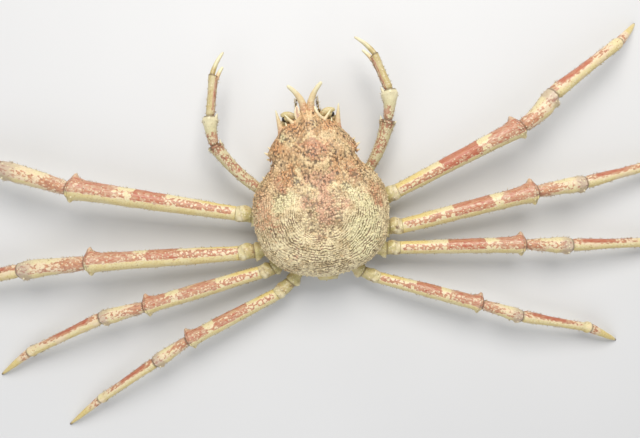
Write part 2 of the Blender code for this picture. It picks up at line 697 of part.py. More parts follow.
def main():
    clear_scene()
    parts = bpy.data.collections.new(OBJECT_NAME)
    work = bpy.data.collections.new("cutters")
    bpy.context.scene.collection.children.link(parts)
    bpy.context.scene.collection.children.link(work)
    materials = make_materials()
    make_carapace(materials, parts, work)
    make_thorax(materials, parts)
    rooted = [make_abdomen(materials, parts, work), make_mouthparts(materials, parts, work)]
    rooted += make_head_pieces(materials, parts)
    for name, claw in CLAWS.items():
        rooted.append(make_limb(name, claw, CLAW_SEGMENTS, materials, parts, work))
    for name, leg in LEGS.items():
        rooted.append(make_limb(name, leg, LEG_SEGMENTS, materials, parts, work))
    cut_from_body(rooted, work)
    lean_head(parts)


main()
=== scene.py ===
# %% [markdown]
# # A small Japanese spider crab
# A still model, life size, lying on its belly with its legs spread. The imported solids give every
# node's place. Each cell below makes one visible piece or one finish that takes a solid's place,
# finer than the solid and in the same frame: the crab faces -Y and its left side is +X.

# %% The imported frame
import math
import random

import bpy
import numpy as np
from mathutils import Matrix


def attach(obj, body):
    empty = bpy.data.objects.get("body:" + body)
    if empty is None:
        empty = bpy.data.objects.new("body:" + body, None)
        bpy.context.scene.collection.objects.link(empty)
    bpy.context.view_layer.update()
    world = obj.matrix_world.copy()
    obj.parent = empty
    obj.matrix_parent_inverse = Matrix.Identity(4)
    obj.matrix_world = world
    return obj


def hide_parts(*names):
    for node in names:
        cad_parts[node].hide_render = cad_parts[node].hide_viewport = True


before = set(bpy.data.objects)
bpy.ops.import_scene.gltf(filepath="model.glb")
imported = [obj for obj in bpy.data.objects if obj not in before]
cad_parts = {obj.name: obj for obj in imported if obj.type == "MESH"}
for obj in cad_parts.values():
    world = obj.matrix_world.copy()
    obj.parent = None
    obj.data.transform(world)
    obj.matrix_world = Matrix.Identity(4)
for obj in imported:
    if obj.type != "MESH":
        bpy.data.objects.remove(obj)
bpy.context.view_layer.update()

MM = 0.001

# %% [markdown]
# ## Camera
# The camera looks straight down from 620 mm, turned by 6.5 degrees, because the animal lies a
# little askew in the picture. Its lens makes one pixel 1.08 mm on the floor.

# %% Camera
CAMERA_HEIGHT = 0.62
CAMERA_TURN = math.radians(6.5)
HALF_FRAME = 0.3456            # half of what the camera sees across the floor
SENSOR = 36

lens = bpy.data.cameras.new("camera")
lens.sensor_width = SENSOR
lens.lens = SENSOR / 2 * CAMERA_HEIGHT / HALF_FRAME
lens.clip_start = 0.01
camera = bpy.data.objects.new("camera", lens)
bpy.context.scene.collection.objects.link(camera)
camera.location = (0.0017, 0.0111, CAMERA_HEIGHT)
camera.rotation_euler = (0, 0, math.pi - CAMERA_TURN)
bpy.context.scene.camera = camera
bpy.context.scene.view_settings.view_transform = "Standard"
print("lens %.1f mm" % lens.lens)


# %% [markdown]
# ## Nodes
# Every finish is a small tree of nodes. These helpers add a node with its values, step a value
# from 0 to 1, lay one colour over another and close a material off, so that a finish below reads
# like a recipe. Gloss is set on each shader's own sockets.


# %% Node helpers
def put(tree, kind, values=None, **settings):
    """Adds a node; a value that is a socket is linked, and any other is set."""
    made = tree.nodes.new(kind)
    for key, value in settings.items():
        setattr(made, key, value)
    for key, value in (values or {}).items():
        if isinstance(value, bpy.types.NodeSocket):
            tree.links.new(value, made.inputs[key])
        else:
            made.inputs[key].default_value = value
    return made


def mask_of(tree, name):
    """Socket with a piece's own mask."""
    return put(tree, "ShaderNodeAttribute", attribute_name=name).outputs["Fac"]


def place_on(tree):
    """Socket with the place in the piece's own coordinates, in metres."""
    return put(tree, "ShaderNodeTexCoord").outputs["Object"]


def noise_at(tree, place, scale, detail=2, **more):
    """Socket with smooth noise, mostly 0.3 to 0.7; the scale is in waves a metre."""
    values = {"Vector": place, "Scale": scale, "Detail": detail, **more}
    return put(tree, "ShaderNodeTexNoise", values).outputs["Fac"]


def maths(tree, operation, first, second=0):
    """One arithmetic step on two values."""
    return put(tree, "ShaderNodeMath", {0: first, 1: second}, operation=operation).outputs[0]


def stirred(tree, value, noise, amount=1):
    """A value made uneven: plus (noise - 0.5) times the amount."""
    uneven = maths(tree, "MULTIPLY", maths(tree, "SUBTRACT", noise, 0.5), amount)
    return maths(tree, "ADD", value, uneven)


def ranged(tree, value, low, high, to_low=0, to_high=1):
    """A smooth step of a value from low to high."""
    return put(tree, "ShaderNodeMapRange", {
        "Value": value, "From Min": low, "From Max": high, "To Min": to_low, "To Max": to_high},
        interpolation_type="SMOOTHSTEP").outputs["Result"]


def blend(tree, share, first, second):
    """Colour that goes from first to second as share goes from 0 to 1."""
    mix = put(tree, "ShaderNodeMix", {0: share, 6: first, 7: second}, data_type="RGBA")
    return mix.outputs[2]


def graded(tree, first, second, value, low, high, to_low=0, to_high=1):
    """Colour that goes from first to second as a value steps from low to high."""
    return blend(tree, ranged(tree, value, low, high, to_low, to_high), first, second)


def laid_on(tree, colour, mask, tone, strength):
    """A tone laid on a colour where a mask says, at most as thick as the strength."""
    return blend(tree, maths(tree, "MULTIPLY", mask, strength), colour, tone)


# %% Groups and materials
def new_group(name, output, **inputs):
    """A node group of a place and named numbers: gives the group, its inputs and its output."""
    group = bpy.data.node_groups.new(name, "ShaderNodeTree")
    group.interface.new_socket("Place", in_out="INPUT", socket_type="NodeSocketVector")
    for socket, value in inputs.items():
        made = group.interface.new_socket(socket, in_out="INPUT", socket_type="NodeSocketFloat")
        made.default_value = value
    group.interface.new_socket(output, in_out="OUTPUT", socket_type="NodeSocketFloat")
    given, out = group.nodes.new("NodeGroupInput"), group.nodes.new("NodeGroupOutput")
    return group, given.outputs, out.inputs[output]


def use_group(tree, group, **values):
    """Places a node group in a material with its own values, and gives its output."""
    return put(tree, "ShaderNodeGroup", values, node_tree=group).outputs[0]


def begun_material(name, roughness, coat=0, coat_roughness=0.03):
    """A new material with its gloss set, and its tree."""
    material = bpy.data.materials.new(name)
    material.use_nodes = True
    gloss = {"Roughness": roughness, "Coat Weight": coat, "Coat Roughness": coat_roughness}
    for socket, value in gloss.items():
        material.node_tree.nodes["Principled BSDF"].inputs[socket].default_value = value
    return material, material.node_tree


def painted(material, colour, height=None, strength=0, distance=0):
    """The material with its colour linked, and a bump made of the height, where there is one."""
    tree = material.node_tree
    shader = tree.nodes["Principled BSDF"]
    tree.links.new(colour, shader.inputs["Base Color"])
    if height is not None:
        bump = put(tree, "ShaderNodeBump", {
            "Height": height, "Strength": strength, "Distance": distance})
        tree.links.new(bump.outputs["Normal"], shader.inputs["Normal"])
    return material


# %% [markdown]
# ## Floor and light
# The floor is plain and pale, and the light is soft: a panel high before the animal's right side
# and a weaker one opposite, so that granules and joints keep a light side and a dark side.

# %% Floor and light
FLOOR_TONES = ((0.6, 0.6, 0.6, 1), (0.68, 0.68, 0.68, 1))
FLOOR_REACH = 3              # metres from the middle to the floor's edges


def floor_material():
    """Pale grey, matt, with a faint large unevenness so that it isn't one flat tone."""
    material, tree = begun_material("floor_pale", 0.8)
    return painted(material, blend(tree, noise_at(tree, place_on(tree), 3), *FLOOR_TONES))


def panel_light(name, place, aim, size, power, colour):
    """A square soft light at a place, turned to face the aim."""
    data = bpy.data.lights.new(name, "AREA")
    data.shape = "SQUARE"
    data.size = size
    data.energy = power
    data.color = colour
    made = bpy.data.objects.new(name, data)
    bpy.context.scene.collection.objects.link(made)
    made.location = place
    way = np.array(aim) - np.array(place)
    flat = math.hypot(way[0], way[1])
    made.rotation_euler = (math.atan2(flat, -way[2]), 0, math.atan2(-way[0], way[1]))


floor_mesh = bpy.data.meshes.new("floor")
corners = [(x * FLOOR_REACH, y * FLOOR_REACH, 0) for x, y in ((-1, -1), (1, -1), (1, 1), (-1, 1))]
floor_mesh.from_pydata(corners, [], [(0, 1, 2, 3)])
floor_mesh.materials.append(floor_material())
floor = bpy.data.objects.new("floor", floor_mesh)
bpy.context.scene.collection.objects.link(floor)
panel_light("key_light", (-0.2, -0.9, 1.2), (0, 0, 0), 0.9, 22, (1, 0.97, 0.93))
panel_light("fill_light", (0.6, 0.95, 1.1), (0, 0, 0), 1.2, 7, (0.93, 0.96, 1))
world = bpy.data.worlds.new("studio")
world.use_nodes = True
sky = world.node_tree.nodes["Background"]
sky.inputs["Color"].default_value = (0.95, 0.97, 1, 1)
sky.inputs["Strength"].default_value = 0.5
bpy.context.scene.world = world

# %% [markdown]
# ## From arrays to meshes
# Every new piece is a numpy array of points and an array of faces. One helper turns them into an
# object with smooth faces that point outwards, gives it masks for its material to read, and tells
# the frame which body it rides on and which solids it stands for.


# %% Arrays to meshes
def grid_faces(rows, columns, wrap=True):
    """Four-sided faces of a grid of points numbered row by row; wrap joins its two side edges."""
    across = columns if wrap else columns - 1
    i, j = np.meshgrid(np.arange(rows - 1), np.arange(across), indexing="ij")
    low, next_low = i * columns + j, i * columns + (j + 1) % columns
    return np.stack([low, next_low, next_low + columns, low + columns], -1).reshape(-1, 4)


def fan_faces(ring, centre):
    """Triangles from a closed ring of points to one centre point."""
    return np.stack([ring, np.roll(ring, -1), np.full(len(ring), centre)], -1)


def closed_tube(points, ends=None):
    """Points and faces of a stack of rings, closed at both ends by fans round the rings' centres."""
    rows, sides = points.shape[:2]
    if ends is None:
        ends = np.stack([points[0].mean(0), points[-1].mean(0)])
    last = (rows - 1) * sides
    groups = [grid_faces(rows, sides), fan_faces(np.arange(sides)[::-1], rows * sides),
              fan_faces(np.arange(last, last + sides), rows * sides + 1)]
    return np.concatenate([points.reshape(-1, 3), ends]), groups


# %% Pieces
def volume_of(points, groups):
    """Signed volume: the sum over all triangles of a . (b x c) / 6, positive when they face out."""
    total = 0.0
    for faces in groups:
        for k in range(1, faces.shape[1] - 1):
            a, b, c = points[faces[:, 0]], points[faces[:, k]], points[faces[:, k + 1]]
            total += np.einsum("ij,ij->", a, np.cross(b, c)) / 6
    return total


HEAD_SHIFT = 1.9               # how far the head points to the animal's left
HEAD_NARROWING = 0.03          # and how much narrower it is than the mirrored outline
HEAD_START = 30              # how far before the body's middle the shift begins
HEAD_EASING = 45             # and over what way it grows to its full size


def head_leaned(points):
    """The body's points with x (1 - narrowing) + shift in front of the shoulders, eased in."""
    share = np.clip((-points[:, 1] - HEAD_START) / HEAD_EASING, 0, 1)
    share = share * share * (3 - 2 * share)
    leaned = points.copy()
    leaned[:, 0] += share * (HEAD_SHIFT - HEAD_NARROWING * points[:, 0])
    return leaned


def make_piece(name, points, groups, material, slot, nodes=(), masks=None, bake=None):
    """A new object from points in millimetres and groups of faces, with its named masks.

    bake is the place of each point on an unwrap of the skin that a coat grows on.
    """
    if not slot.startswith(("leg", "claw")):
        points = head_leaned(points)
    if volume_of(points, groups) < 0:
        groups = [faces[:, ::-1] for faces in groups]
    mesh = bpy.data.meshes.new(name)
    corners = np.concatenate([faces.ravel() for faces in groups]).astype(np.int32)
    sizes = np.concatenate([np.full(len(faces), faces.shape[1]) for faces in groups])
    mesh.vertices.add(len(points))
    mesh.vertices.foreach_set("co", (points * MM).astype(np.float32).ravel())
    mesh.loops.add(len(corners))
    mesh.loops.foreach_set("vertex_index", corners)
    mesh.polygons.add(len(sizes))
    mesh.polygons.foreach_set("loop_start", (np.cumsum(sizes) - sizes).astype(np.int32))
    mesh.update(calc_edges=True)
    mesh.shade_smooth()
    for mask, values in (masks or {}).items():
        values = np.asarray(values, dtype=np.float32)
        kind, field = ("FLOAT", "value") if values.ndim == 1 else ("FLOAT_VECTOR", "vector")
        mesh.attributes.new(mask, kind, "POINT").data.foreach_set(field, values.ravel())
    if bake is not None:
        unwrap = mesh.uv_layers.new(name="OFBake")
        unwrap.data.foreach_set("uv", bake[corners].astype(np.float32).ravel())
    mesh.materials.append(material)
    piece = bpy.data.objects.new(name, mesh)
    bpy.context.scene.collection.objects.link(piece)
    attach(piece, "root")
    if nodes:
        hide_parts(*nodes)
    triangles = int((sizes - 2).sum())
    print("%-28s %7d triangles" % (name, triangles))
    return piece


# %% [markdown]
# ## Random fields on arrays
# A crab's shell is irregular at every size, but the script has to give the same crab each time.
# So the randomness comes from the whole-number lattice that a point falls in: the lattice numbers
# are scrambled into a value. Blending the values at a cube's corners gives smooth blotches, and
# the distance to one random point in each cube gives packed pebbles with valleys between them.


# %% Smooth noise and pebbles
def scrambled(lattice, channel):
    """Repeatable value in 0..1 for each whole-number lattice point."""
    x, y, z = (lattice[..., k].astype(np.int64).astype(np.uint32) for k in range(3))
    mixed = x * np.uint32(73856093) ^ y * np.uint32(19349663) ^ z * np.uint32(83492791)
    mixed = (mixed ^ np.uint32(channel * 7919 + 17)) * np.uint32(2654435761)
    mixed = (mixed ^ (mixed >> np.uint32(15))) * np.uint32(2246822519)
    return ((mixed ^ (mixed >> np.uint32(13))) & np.uint32(0xFFFF)) / 65535


def blotches(places, size, channel=0):
    """Smooth field in -1..1: values at the corners of cubes of that size, eased between them."""
    cell = places / size
    base = np.floor(cell)
    part = cell - base
    part = part * part * (3 - 2 * part)
    total = np.zeros(places.shape[:-1])
    for corner in range(8):
        step = np.array([corner & 1, corner >> 1 & 1, corner >> 2 & 1])
        weight = np.prod(np.where(step == 1, part, 1 - part), axis=-1)
        total += weight * scrambled(base + step, channel)
    return total * 2 - 1


def pebbles(places, size, jitter=0.85, channel=0):
    """Nearest and second nearest distance to one random point a cube, in cubes, and its value."""
    cell = places / size
    base = np.floor(cell)
    first = np.full(places.shape[:-1], 9.0)
    second = first.copy()
    own = np.zeros_like(first)
    for k in range(27):
        corner = base + np.array([k % 3, k // 3 % 3, k // 9]) - 1
        point = [scrambled(corner, channel + axis) for axis in range(3)]
        point = corner + 0.5 + jitter * (np.stack(point, -1) - 0.5)
        away = np.linalg.norm(cell - point, axis=-1)
        closer = away < first
        second = np.where(closer, first, np.minimum(second, away))
        own = np.where(closer, scrambled(corner, channel + 3), own)
        first = np.where(closer, away, first)
    return first, second, own


def laid_pebbles(along, across, channel=0):
    """Like pebbles, but flat and laid in rows one unit wide, each row shifted by its own amount."""
    row = np.floor(across)
    first = np.full(along.shape, 9.0)
    second, own = first.copy(), np.zeros(along.shape)
    for k in range(9):
        line = row + k // 3 - 1
        shift = scrambled(np.stack([line, 0 * line, 0 * line], -1), channel)
        cell = np.stack([np.floor(along - shift) + k % 3 - 1, line, 0 * line], -1)
        middle = cell[..., 0] + shift + 0.5 + 0.7 * (scrambled(cell, channel + 1) - 0.5)
        height = line + 0.5 + 0.35 * (scrambled(cell, channel + 2) - 0.5)
        away = np.hypot(along - middle, across - height)
        closer = away < first
        second = np.where(closer, first, np.minimum(second, away))
        own = np.where(closer, scrambled(cell, channel + 3), own)
        first = np.where(closer, away, first)
    return first, second, own


# %% Steps and curves
def eased(value, low, high):
    """0 at low, 1 at high, and a smooth step between them; high may be the smaller of the two."""
    share = np.clip((value - low) / (high - low), 0, 1)
    return share * share * (3 - 2 * share)


def peak(value, centre, width):
    """A bell curve of a value: 1 at the centre, and 0.37 one width away from it."""
    return np.exp(-((value - centre) / width) ** 2)


def is_lowest(field):
    """Where a grid's value is the lowest of the five by five round it."""
    lowest = np.ones(field.shape, dtype=bool)
    for di in range(-2, 3):
        for dj in range(-2, 3):
            lowest &= field <= np.roll(field, (di, dj), (0, 1))
    return lowest


def curve_through(knots, at):
    """Smooth curve through (place, value) knots that never overshoots them."""
    x, y = np.array(knots, dtype=float).T
    gap = np.diff(x)
    slope = np.diff(y) / gap
    steep = np.zeros_like(x)
    same = slope[1:] * slope[:-1] > 0
    steep[1:-1][same] = 2 * slope[1:][same] * slope[:-1][same] / (slope[1:] + slope[:-1])[same]
    steep[0], steep[-1] = slope[0], slope[-1]
    k = np.clip(np.searchsorted(x, at) - 1, 0, len(gap) - 1)
    t = np.clip((at - x[k]) / gap[k], 0, 1)
    inner = steep[k] * (1 - t) ** 2 * t - steep[k + 1] * t ** 2 * (1 - t)
    return y[k] + (y[k + 1] - y[k]) * t * t * (3 - 2 * t) + inner * gap[k]


def unit(vectors):
    """The same directions at length 1."""
    return vectors / np.maximum(np.linalg.norm(vectors, axis=-1, keepdims=True), 1e-9)


# %% [markdown]
# ## Finishes
# Shell, legs and claws are one stuff, calcified cuticle: cream underneath, with salmon and brick
# red laid over it in blotches, white tops on the granules and brown in the valleys. The masks say
# where on the animal each tone may show, and node groups break the masks up with fine blotches,
# so that edges are ragged at every distance.


# %% Shared effects
def mottling_group():
    """Mask of ragged blotches: noise plus an amount, cut off softly.

    At amount 0 nothing shows, at 1 all of it does, and between them the blotches grow and join.
    """
    group, given, mask = new_group("mottling", "Mask", Amount=0.5, Scale=0.3, Softness=0.06)
    noise = noise_at(group, given["Place"], given["Scale"], 4, Roughness=0.62)
    level = maths(group, "ADD", noise, maths(group, "MULTIPLY", given["Amount"], 0.62))
    low = maths(group, "SUBTRACT", 0.81, given["Softness"])
    high = maths(group, "ADD", 0.81, given["Softness"])
    group.links.new(ranged(group, level, low, high), mask)
    return group


def speck_group():
    """Mask of small round specks: close to a random point, and only where its value is high."""
    group, given, mask = new_group("specks", "Mask", Scale=0.4, Radius=0.2, Share=0.2)
    cells = put(group, "ShaderNodeTexVoronoi", {"Vector": given["Place"], "Scale": given["Scale"]})
    near = maths(group, "LESS_THAN", cells.outputs["Distance"], given["Radius"])
    value = put(group, "ShaderNodeSeparateColor", {"Color": cells.outputs["Color"]}).outputs[0]
    chosen = maths(group, "LESS_THAN", value, given["Share"])
    group.links.new(maths(group, "MULTIPLY", near, chosen), mask)
    return group


def fine_relief_group():
    """Height of the finest grain: pores from cell distance, over fine noise."""
    group, given, height = new_group("fine_relief", "Height", Scale=1)
    cells = put(group, "ShaderNodeTexVoronoi", {"Vector": given["Place"], "Scale": given["Scale"]})
    noise = noise_at(group, given["Place"], maths(group, "MULTIPLY", given["Scale"], 2.3), 3)
    pores = ranged(group, cells.outputs["Distance"], 0, 0.45)
    group.links.new(maths(group, "ADD", pores, maths(group, "MULTIPLY", noise, 0.8)), height)
    return group


MOTTLING = mottling_group()
SPECKS = speck_group()
FINE_RELIEF = fine_relief_group()
print("node groups:", MOTTLING.name, SPECKS.name, FINE_RELIEF.name)

# %% [markdown]
# ### Carapace finish
# From above the front of the shell is peach to orange with brown pits, and the rear is a paler,
# greener cream in rows of long grains over olive and pinkish brown furrows. The masks say how high
# each point of the surface stands, where the pits are, how far the rows have taken over, and where
# the orange, red, green and pink stains lie, and the light patches, which are partly paler shell
# and partly painted light that brightens the animal's left side.

# %% Carapace material
SHELL_PEACH = (0.58, 0.345, 0.165, 1)
SHELL_CREAM = (0.74, 0.56, 0.3, 1)
SHELL_PALE = (0.9, 0.79, 0.5, 1)
# Pale tone of flecks and of the light patches; on the animal's left side those patches are partly
# painted light
SHELL_LIGHT = (0.85, 0.62, 0.35, 1)
SHELL_RIDGE = (0.8, 0.68, 0.41, 1)
SHELL_BUFF = (0.54, 0.4, 0.215, 1)
SHELL_GREEN = (0.78, 0.71, 0.41, 1)
SHELL_VALLEY = (0.24, 0.155, 0.072, 1)
SHELL_OLIVE = (0.18, 0.13, 0.052, 1)
SHELL_ORANGE = (0.64, 0.29, 0.115, 1)
SHELL_RED = (0.56, 0.225, 0.12, 1)
SHELL_PINK = (0.66, 0.34, 0.22, 1)
SHELL_ROSE = (0.31, 0.185, 0.11, 1)
PIT_BROWN = (0.08, 0.048, 0.024, 1)
# Each stain's mask, tone and thickness, in the order in which they are laid on; the light one is
# partly painted light
STAIN_TONES = (("orange", SHELL_ORANGE, 0.8), ("green", SHELL_GREEN, 0.9), ("red", SHELL_RED, 0.85),
               ("pink", SHELL_PINK, 0.8), ("light", SHELL_LIGHT, 0.75))


def carapace_material():
    """Ground tone by the region masks, lighter on granules, darker in valleys and pits."""
    material, tree = begun_material("carapace_cuticle", 0.48, 0.12, 0.3)
    place, rise, ridges = place_on(tree), mask_of(tree, "rise"), mask_of(tree, "ridges")
    fleck, cloud = noise_at(tree, place, 420, 3), noise_at(tree, place, 95, 3)
    streak = noise_at(tree, place, 330, 3, Distortion=1.6)
    ground = graded(tree, SHELL_PEACH, SHELL_CREAM, cloud, 0.4, 0.66)
    warm = graded(tree, SHELL_BUFF, SHELL_RIDGE, cloud, 0.34, 0.6)
    ground = blend(tree, ridges, ground, warm)
    # The light mask lays on partly painted light, a paler left side of the animal, besides paler shell
    for name, tone, strength in STAIN_TONES:
        ragged = use_group(tree, MOTTLING, Place=place, Amount=mask_of(tree, name),
                           Scale=230, Softness=0.14)
        ground = laid_on(tree, ground, ragged, tone, strength)
    pale = blend(tree, ridges, SHELL_LIGHT, SHELL_PALE)
    ground = graded(tree, ground, pale, streak, 0.54, 0.64, 0, 0.55)
    ground = graded(tree, ground, SHELL_VALLEY, streak, 0.31, 0.42, 0.6, 0)
    low = blend(tree, 0.45, ground, SHELL_VALLEY)
    hollow = graded(tree, SHELL_OLIVE, SHELL_ROSE, cloud, 0.42, 0.58)
    deep = blend(tree, ridges, low, hollow)
    height = stirred(tree, rise, fleck, 0.8)
    colour = graded(tree, deep, ground, height, 0, 0.5)
    colour = graded(tree, colour, pale, height, 0.62, 1.05, 0, 0.62)
    colour = laid_on(tree, colour, mask_of(tree, "pit"), PIT_BROWN, 0.9)
    grain = use_group(tree, FINE_RELIEF, Place=place, Scale=1100)
    return painted(material, colour, grain, 0.35, 0.0004)


CARAPACE_FINISH = carapace_material()

# %% [markdown]
# ## Carapace
# The shell is pear-shaped from above and domed, with the swellings over stomach, heart and gills
# that a crab's shell shows. Its outline is a table of half widths, and its height is a power curve
# from the edge to the middle. A square grid pressed into a disc carries it, because its cells stay
# near half a millimetre everywhere, where a fan of spokes would crowd in the middle.

# %% Body outline and dome
TOP_HEIGHT = 69              # middle of the back, before the swellings
MARGIN_HEIGHT = 36           # widest edge of the shell, at the sides and rear
FRONT_MARGIN_HEIGHT = 44     # the same edge at the snout
BELLY_HEIGHT = 5             # flat breastplate
PARTING_HEIGHT = 30          # shell above, underbody below
RIM_GAP = 0.15                 # half the clearance between the two
BELLY_SHARE = 0.66
SNOUT_LIMIT = 84
SOFTENING = 32                 # degrees over which the inner outline is averaged
DOME_FULLNESS = 2.6
DOME_ROUNDNESS = 0.55
FLANK_PULL = 0.8
SNOUT_PULL = 1.7

# half width, y, from the snout to the rear
OUTLINE = [
    (0, -105.5), (5.5, -104.5), (8.5, -98), (13, -91), (21, -87.5), (29, -84.5),
    (33, -78), (40, -70), (46.5, -60.5), (42.5, -51.5), (46.5, -43), (52.5, -37),
    (60.5, -28), (66.7, -17), (68.7, -5), (68.8, 10), (66, 27), (61, 42),
    (46, 57), (34, 63), (16, 68), (0, 70),
]

# Swellings and hollows of the back: x, y, radius, height; those off the middle are mirrored
REGIONS = [
    (0, -52, 15, 4.5), (0, -80, 10, 2.5), (0, 6, 13, 4), (0, 42, 12, 3),
    (36, 4, 24, 5), (34, -62, 11, 3.5), (29, -42, 9, -4.5),
    (14, -30, 8, -2.5), (13, 22, 6, -2.5),
]

TABLE_ANGLES = np.radians(np.arange(-180, 181, 0.25))


def outline_tables():
    """Edge distance by angle, rounded over 1.5 degrees, and averaged over a wide angle."""
    points = np.array(OUTLINE)
    angles = np.arctan2(points[:, 0], -points[:, 1])
    edge = np.interp(np.abs(TABLE_ANGLES), angles, np.hypot(points[:, 0], points[:, 1]))
    ring = edge[:-1]
    near = sum(np.roll(ring, k) * w for k, w in zip(range(-4, 5), np.hanning(11)[1:-1]))
    near = near / np.hanning(11)[1:-1].sum()
    turns = range(-SOFTENING, SOFTENING + 1, 4)
    wide = sum(np.roll(ring, turn * 4) for turn in turns) / len(turns)
    return np.append(near, near[0]), np.append(wide, wide[0])


EDGE_TABLE, SOFT_TABLE = outline_tables()

# %% Back and flank
def margin_height(angle):
    """Height of the shell's edge, which climbs towards the snout as a bell curve of the angle."""
    climb = peak(angle, 0, math.radians(38))
    return MARGIN_HEIGHT + (FRONT_MARGIN_HEIGHT - MARGIN_HEIGHT) * climb


def bell(x, y, cx, cy, radius):
    """A round bell: 1 at its centre, falling with the square of the distance."""
    return np.exp(-((x - cx) ** 2 + (y - cy) ** 2) / radius ** 2)


def swelling(x, y):
    """Sum of the bells of all swellings and hollows."""
    total = np.zeros_like(x)
    for cx, cy, radius, height in REGIONS:
        for side in (1, -1) if cx > 0 else (1,):
            total += height * bell(x, y, side * cx, cy, radius)
    return total


def back_points(angle, share):
    """Points of the back: share runs from 0 on the body's axis to 1 at the shell's edge."""
    edge = np.interp(angle, TABLE_ANGLES, EDGE_TABLE)
    soft = np.interp(angle, TABLE_ANGLES, SOFT_TABLE)
    reach = share * (soft + (edge - soft) * share ** 3)
    x, y = np.sin(angle) * reach, -np.cos(angle) * reach
    dome = np.maximum(1 - share ** DOME_FULLNESS, 0) ** DOME_ROUNDNESS
    rim = margin_height(angle)
    z = rim + (TOP_HEIGHT - rim) * dome + swelling(x, y) * dome
    return np.stack([x, y, z], -1)


def flank_points(angle, drop):
    """Points of the flank: drop runs from 0 at the shell's edge to 1 at the breastplate."""
    outer = np.interp(angle, TABLE_ANGLES, EDGE_TABLE)
    inner = BELLY_SHARE * np.minimum(outer, SNOUT_LIMIT)
    pull = FLANK_PULL + SNOUT_PULL * peak(angle, 0, math.radians(30))
    reach = inner + (outer - inner) * np.maximum(np.cos(drop * math.pi / 2), 0) ** pull
    rim = margin_height(angle)
    height = rim + (BELLY_HEIGHT - rim) * drop
    return np.stack([np.sin(angle) * reach, -np.cos(angle) * reach, height], -1)


def disc_grid(cells):
    """A square grid pressed into a disc: each square ring becomes a circle; gives radius, angle."""
    line = np.linspace(-1, 1, cells + 1)
    a, b = np.meshgrid(line, line, indexing="ij")
    radius = np.maximum(np.abs(a), np.abs(b))
    wide = np.abs(a) >= np.abs(b)
    first = np.where(np.abs(a) > 0, a, 1)
    second = np.where(np.abs(b) > 0, b, 1)
    angle = np.where(
        wide, math.pi / 4 * b / first + np.where(a < 0, math.pi, 0),
        math.pi / 2 - math.pi / 4 * a / second + np.where(b < 0, math.pi, 0))
    return radius, (angle + math.pi) % (2 * math.pi) - math.pi


def square_rim(cells):
    """Numbers of the outermost points of a square grid, once round."""
    count = cells + 1
    line = np.arange(cells)
    return np.concatenate([
        line, cells + line * count, cells * count + (cells - line), (cells - line) * count])


# %% [markdown]
# ### Granules of the carapace
# In front the real shell is finely grained and dotted with pits a millimetre or two across.
# Behind, the grains are long and stand in wavy rows, side by side along the edge and about 3 mm
# apart. Grains come from the distance between the nearest and the second nearest of random points.
# For the rows these points are laid in lanes across the way walked out from the middle, bent and
# broken by noise, and the pits are small discs round a few random points.

# %% Carapace surface
SHELL_CELLS = 306              # cells across the square grid
BACK_SHARE = 0.91              # part of the grid's radius that is back, the rest is flank
GRAIN_SPACING = 2.6
GRAIN_RISE = 0.75
RIDGE_SPACING = 2.7
GRAIN_LENGTH = 4.2
RIDGE_RISE = 0.75
PIT_DEPTH = 0.6
MEAN_REACH = 76              # from the middle to the edge of the shell, on average
DOME_RISE = 31               # and how much lower the edge lies
WAY_ROUND = 52               # radius at which the grains of the rows have their full length
RIM_WIDENING = 8             # how much wider the last rows are drawn, towards the edge
# Two sizes of pit: spacing, reach, the part of the random points that has one, noise channel
PIT_SIZES = ((5.4, 1.65, 0.62, 60), (3, 0.85, 0.55, 65))


def even_share(part):
    """Share of the way to the edge for equal steps over the domed back, from its arc length."""
    share = np.sin(np.linspace(0, math.pi / 2, 400))
    dome = np.maximum(1 - share ** DOME_FULLNESS, 0) ** DOME_ROUNDNESS
    step = np.hypot(np.diff(share) * MEAN_REACH, np.diff(dome) * DOME_RISE)
    walked = np.concatenate([[0], np.cumsum(step)])
    return np.interp(part * walked[-1], walked, share)


def grains(points):
    """Rise of the front's grains, 0 to 1, and the distance to each grain's middle."""
    wobble = np.stack([blotches(points, 7, 40 + k) for k in range(3)], -1)
    first, second, own = pebbles(points + wobble, GRAIN_SPACING, channel=3)
    rise = eased(second - first, 0.02, 0.5) * (0.45 + 0.55 * own)
    rise = rise * (1 - 0.3 * eased(first, 0.3, 0.8)) + 0.22 * blotches(points, 5, 46)
    return np.clip(rise, 0, 1), first


def wavy_ridges(points, walk):
    """Rise of the rear's ridges, 1 on top and 0 in the furrows, and the way to a grain's middle.

    A ridge is a row of long grains: pebbles laid in rows on a map whose axes are the way walked
    outwards from the middle and the way round it, the second shortened, both bent by smooth noise.
    """
    around = np.arctan2(points[..., 0], points[..., 1]) * WAY_ROUND
    outward = walk - RIM_WIDENING * (walk / 100) ** 5
    for size, strength, channel in ((17, 2.4, 50), (6, 1.3, 51), (3, 0.55, 55)):
        outward = outward + strength * blotches(points, size, channel)
    around = around + 2 * blotches(points, 12, 57)
    across = outward / RIDGE_SPACING
    first, second, own = laid_pebbles(around / GRAIN_LENGTH, across, channel=12)
    furrow = eased(np.abs(across - np.rint(across)), 0.36, 0.06)
    furrow = furrow * eased(blotches(points, 3.2, 54), -0.8, 0.4)
    row = (1 - furrow) * (0.3 + 0.7 * eased(second - first, 0, 0.35)) * (0.6 + 0.4 * own)
    near, next_one, grown = pebbles(points, 1.8, channel=9)
    lumps = eased(next_one - near, 0, 0.4) * (0.35 + 0.65 * grown)
    rise = row * (0.82 + 0.18 * lumps) + 0.1 * blotches(points, 8, 58)
    return np.clip(rise, 0, 1), near


# %% Pits and pale ridges
def pits(points):
    """Discs round some of two sets of random points, 1 in the middle and 0 outside."""
    deep = np.zeros(points.shape[:-1])
    drawn = points * np.array([1, 0.75, 1])
    for spacing, reach, part, channel in PIT_SIZES:
        first, _, own = pebbles(drawn, spacing, jitter=1, channel=channel)
        size = reach * (0.7 + 0.5 * own / part) / spacing
        deep = np.maximum(deep, eased(first, size, size * 0.6) * (own < part))
    return deep


